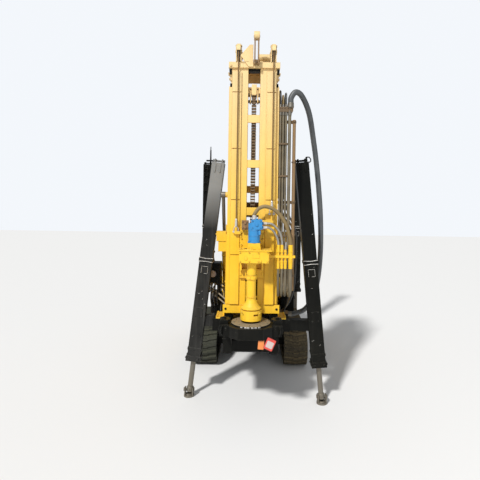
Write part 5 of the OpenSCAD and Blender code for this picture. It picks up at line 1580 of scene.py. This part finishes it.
# Flanges, bearings and bolts of the winch
def addWinch(r):
    part = Part()
    y, z = r["winchY"], r["winchZ"]
    for _ in part.bothSides():
        part.boltRing((0.23, y, z), outWay, 0.082, 10, 0.0065)
        part.spun([(0.0455, 0.004), (0.055, 0.006), (0.055, 0.009), (0.0455, 0.0095)], (0.2292, y, z), outWay)
        part.bolts([(0.25, y + dy, z + dz) for dz in (-0.045, 0.045) for dy in (-0.085, -0.05)], outWay, 0.008)
        part.spun([(0.044, 0), (0.052, 0), (0.052, 0.012), (0.036, 0.018), (0.001, 0.019)], (0.245, y, z), outWay)
        part.tubes([([(0.2215, y + dy, z + dz) for dy, dz in circle(0.098, 0, 360, 28)], 0.004)])
    part.build("winchParts", "bare_steel", "mast")


addWinch(ropes)


# Stand: welds, pivot rings, bolts and the lift cylinders' feet
def addStand():
    part = Part()
    for _ in part.bothSides():
        part.tubes([weld(0.004, (0.3015, -1.228, 0.9975), (0.3015, -0.972, 0.9975)),
                    weld(0.0035, (0.281, -1.228, 0.9975), (0.281, -0.972, 0.9975)),
                    weld(0.004, (0.3025, -1.165, 1.86), (0.3025, -1.045, 1.86)),
                    weld(0.003, (0.3905, -1.16, 1.74), (0.3905, -1.141, 1.74))], 1)
        part.spun([(0.0255, 0.024), (0.046, 0.024), (0.046, 0.03), (0.04, 0.034), (0.0255, 0.034)],
                  (0.281, -1.1, 1.9), outWay, 28)
        part.bolts([(0.301, y, z) for y, z in ((-1.205, 1.1), (-1.01, 1.1), (-1.19, 1.4), (-1.02, 1.4))],
                   outWay, 0.009)
        part.block((0.301, -1.15, 0.996), (0.33, -1.138, 1.12), 0.003)
        part.bolts(grid(0.413, (-1.14, -1.07), 1.94), outWay, 0.01)
        part.block((0.295, -0.315, 0.852), (0.375, -0.225, 0.862))
        part.bolts(grid((0.303, 0.367), (-0.306, -0.234), 0.862), upWay, 0.007)
        part.tubes([weld(0.003, (0.3605, -0.3005, 2.015), (0.3605, -0.2395, 2.015))], 1)
    part.build("standParts", "yellow_paint", "root")


# Deck edges, leg sockets and bumper
def addDeck():
    part = Part()
    for _ in part.bothSides():
        part.blocks([(0.359, -0.2 + 0.26 * k, 0.81475) for k in range(7)], (0.059, 0.006, 0.02475))
        part.bolts([(0.412, -0.18 + 0.15 * k, 0.8505) for k in range(12)], upWay, 0.007)
        part.bolts([(0.3, -0.8 + 0.32 * k, 0.72) for k in range(9)], outWay, 0.009)
        part.blocks(grid(0.436, (-1.17, -1.03, 1.66, 1.8), (0.852, 0.968)), (0.008, 0.064, 0.006))
    for x in (-0.25, 0.25):
        part.rod((x, 1.8895, 0.79), (x, 1.8715, 0.79), 0.04, 20, bevel=0.003)
    part.bolts(grid((-0.33, -0.12, 0.12, 0.33), 1.88, (0.7, 0.845)), backWay, 0.009)
    part.blocks(grid((-0.52, 0.52), (0.37, 0.98), 0.3265), (0.012, 0.07, 0.0185), 0.003)
    part.build("deckParts", "black_paint", "root")


addStand()
addDeck()
print("legs, bonnet and deck")


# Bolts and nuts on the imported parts
def addBolts():
    part = Part()
    for _ in part.bothSides():
        part.bolts([(0.275, -1.5, 1.16)], frontWay, 0.01)
    part.build("mastBoltsBlackPaint", "black_paint", "mast")
    part = Part()
    for _ in part.bothSides():
        part.bolts(grid(0.2735, (-1.49, -1.44, -1.31, -1.27), 3.7), outWay, 0.01)
    part.bolts(grid((-0.09, 0.09), -1.759, 1.183), frontWay, 0.007)
    part.bolts(grid((-0.25296, 0.21018), -1.52, 3.775), frontWay, 0.011)
    part.build("mastBoltsYellowPaint", "yellow_paint", "mast")
    part = Part()
    for _ in part.bothSides():
        part.bolts(grid(0.112, -1.532, (1.85, 1.9175, 1.985)), frontWay, 0.009)
    part.bolts([(-0.112 + 0.0604 * k, -1.764, 1.823) for k in range(6)], upWay, 0.0085)
    part.bolts(grid((-0.118, 0.196), (-1.745, -1.68, -1.615, -1.55), 1.823), upWay, 0.0085)
    part.bolts([(-0.115 + 0.275 / 3 * k, -1.77, z) for z in (1.705, 1.795) for k in range(4)], frontWay, 0.0075)
    part.bolts([(0.188, y, z) for z in (1.725, 1.775) for y in (-1.668, -1.632)], outWay, 0.008)
    part.build("headBoltsYellowPaint", "yellow_paint", "head")
    part = Part()
    for _ in part.bothSides():
        part.bolts(grid(0.39, (-1.205, -1.135, -1.065, -0.995), 0.996), upWay, 0.012)
    part.build("rootBoltsYellowPaint", "yellow_paint", "root")
    part = Part()
    for _ in part.bothSides():
        part.bolts(grid(0.2995, (-1.44, -1.325, -1.21, -1.095, -0.98), 0.82), outWay, 0.01)
    part.build("rootBoltsBlackPaint", "black_paint", "root")
    part = Part()
    part.bolts([(x, -1.592, z) for z in (2.038, 2.1) for x in (-0.1, -0.05)], frontWay, 0.008)
    part.build("headBoltsRustySteel", "rusty_steel", "head")


addBolts()
print("bolts")
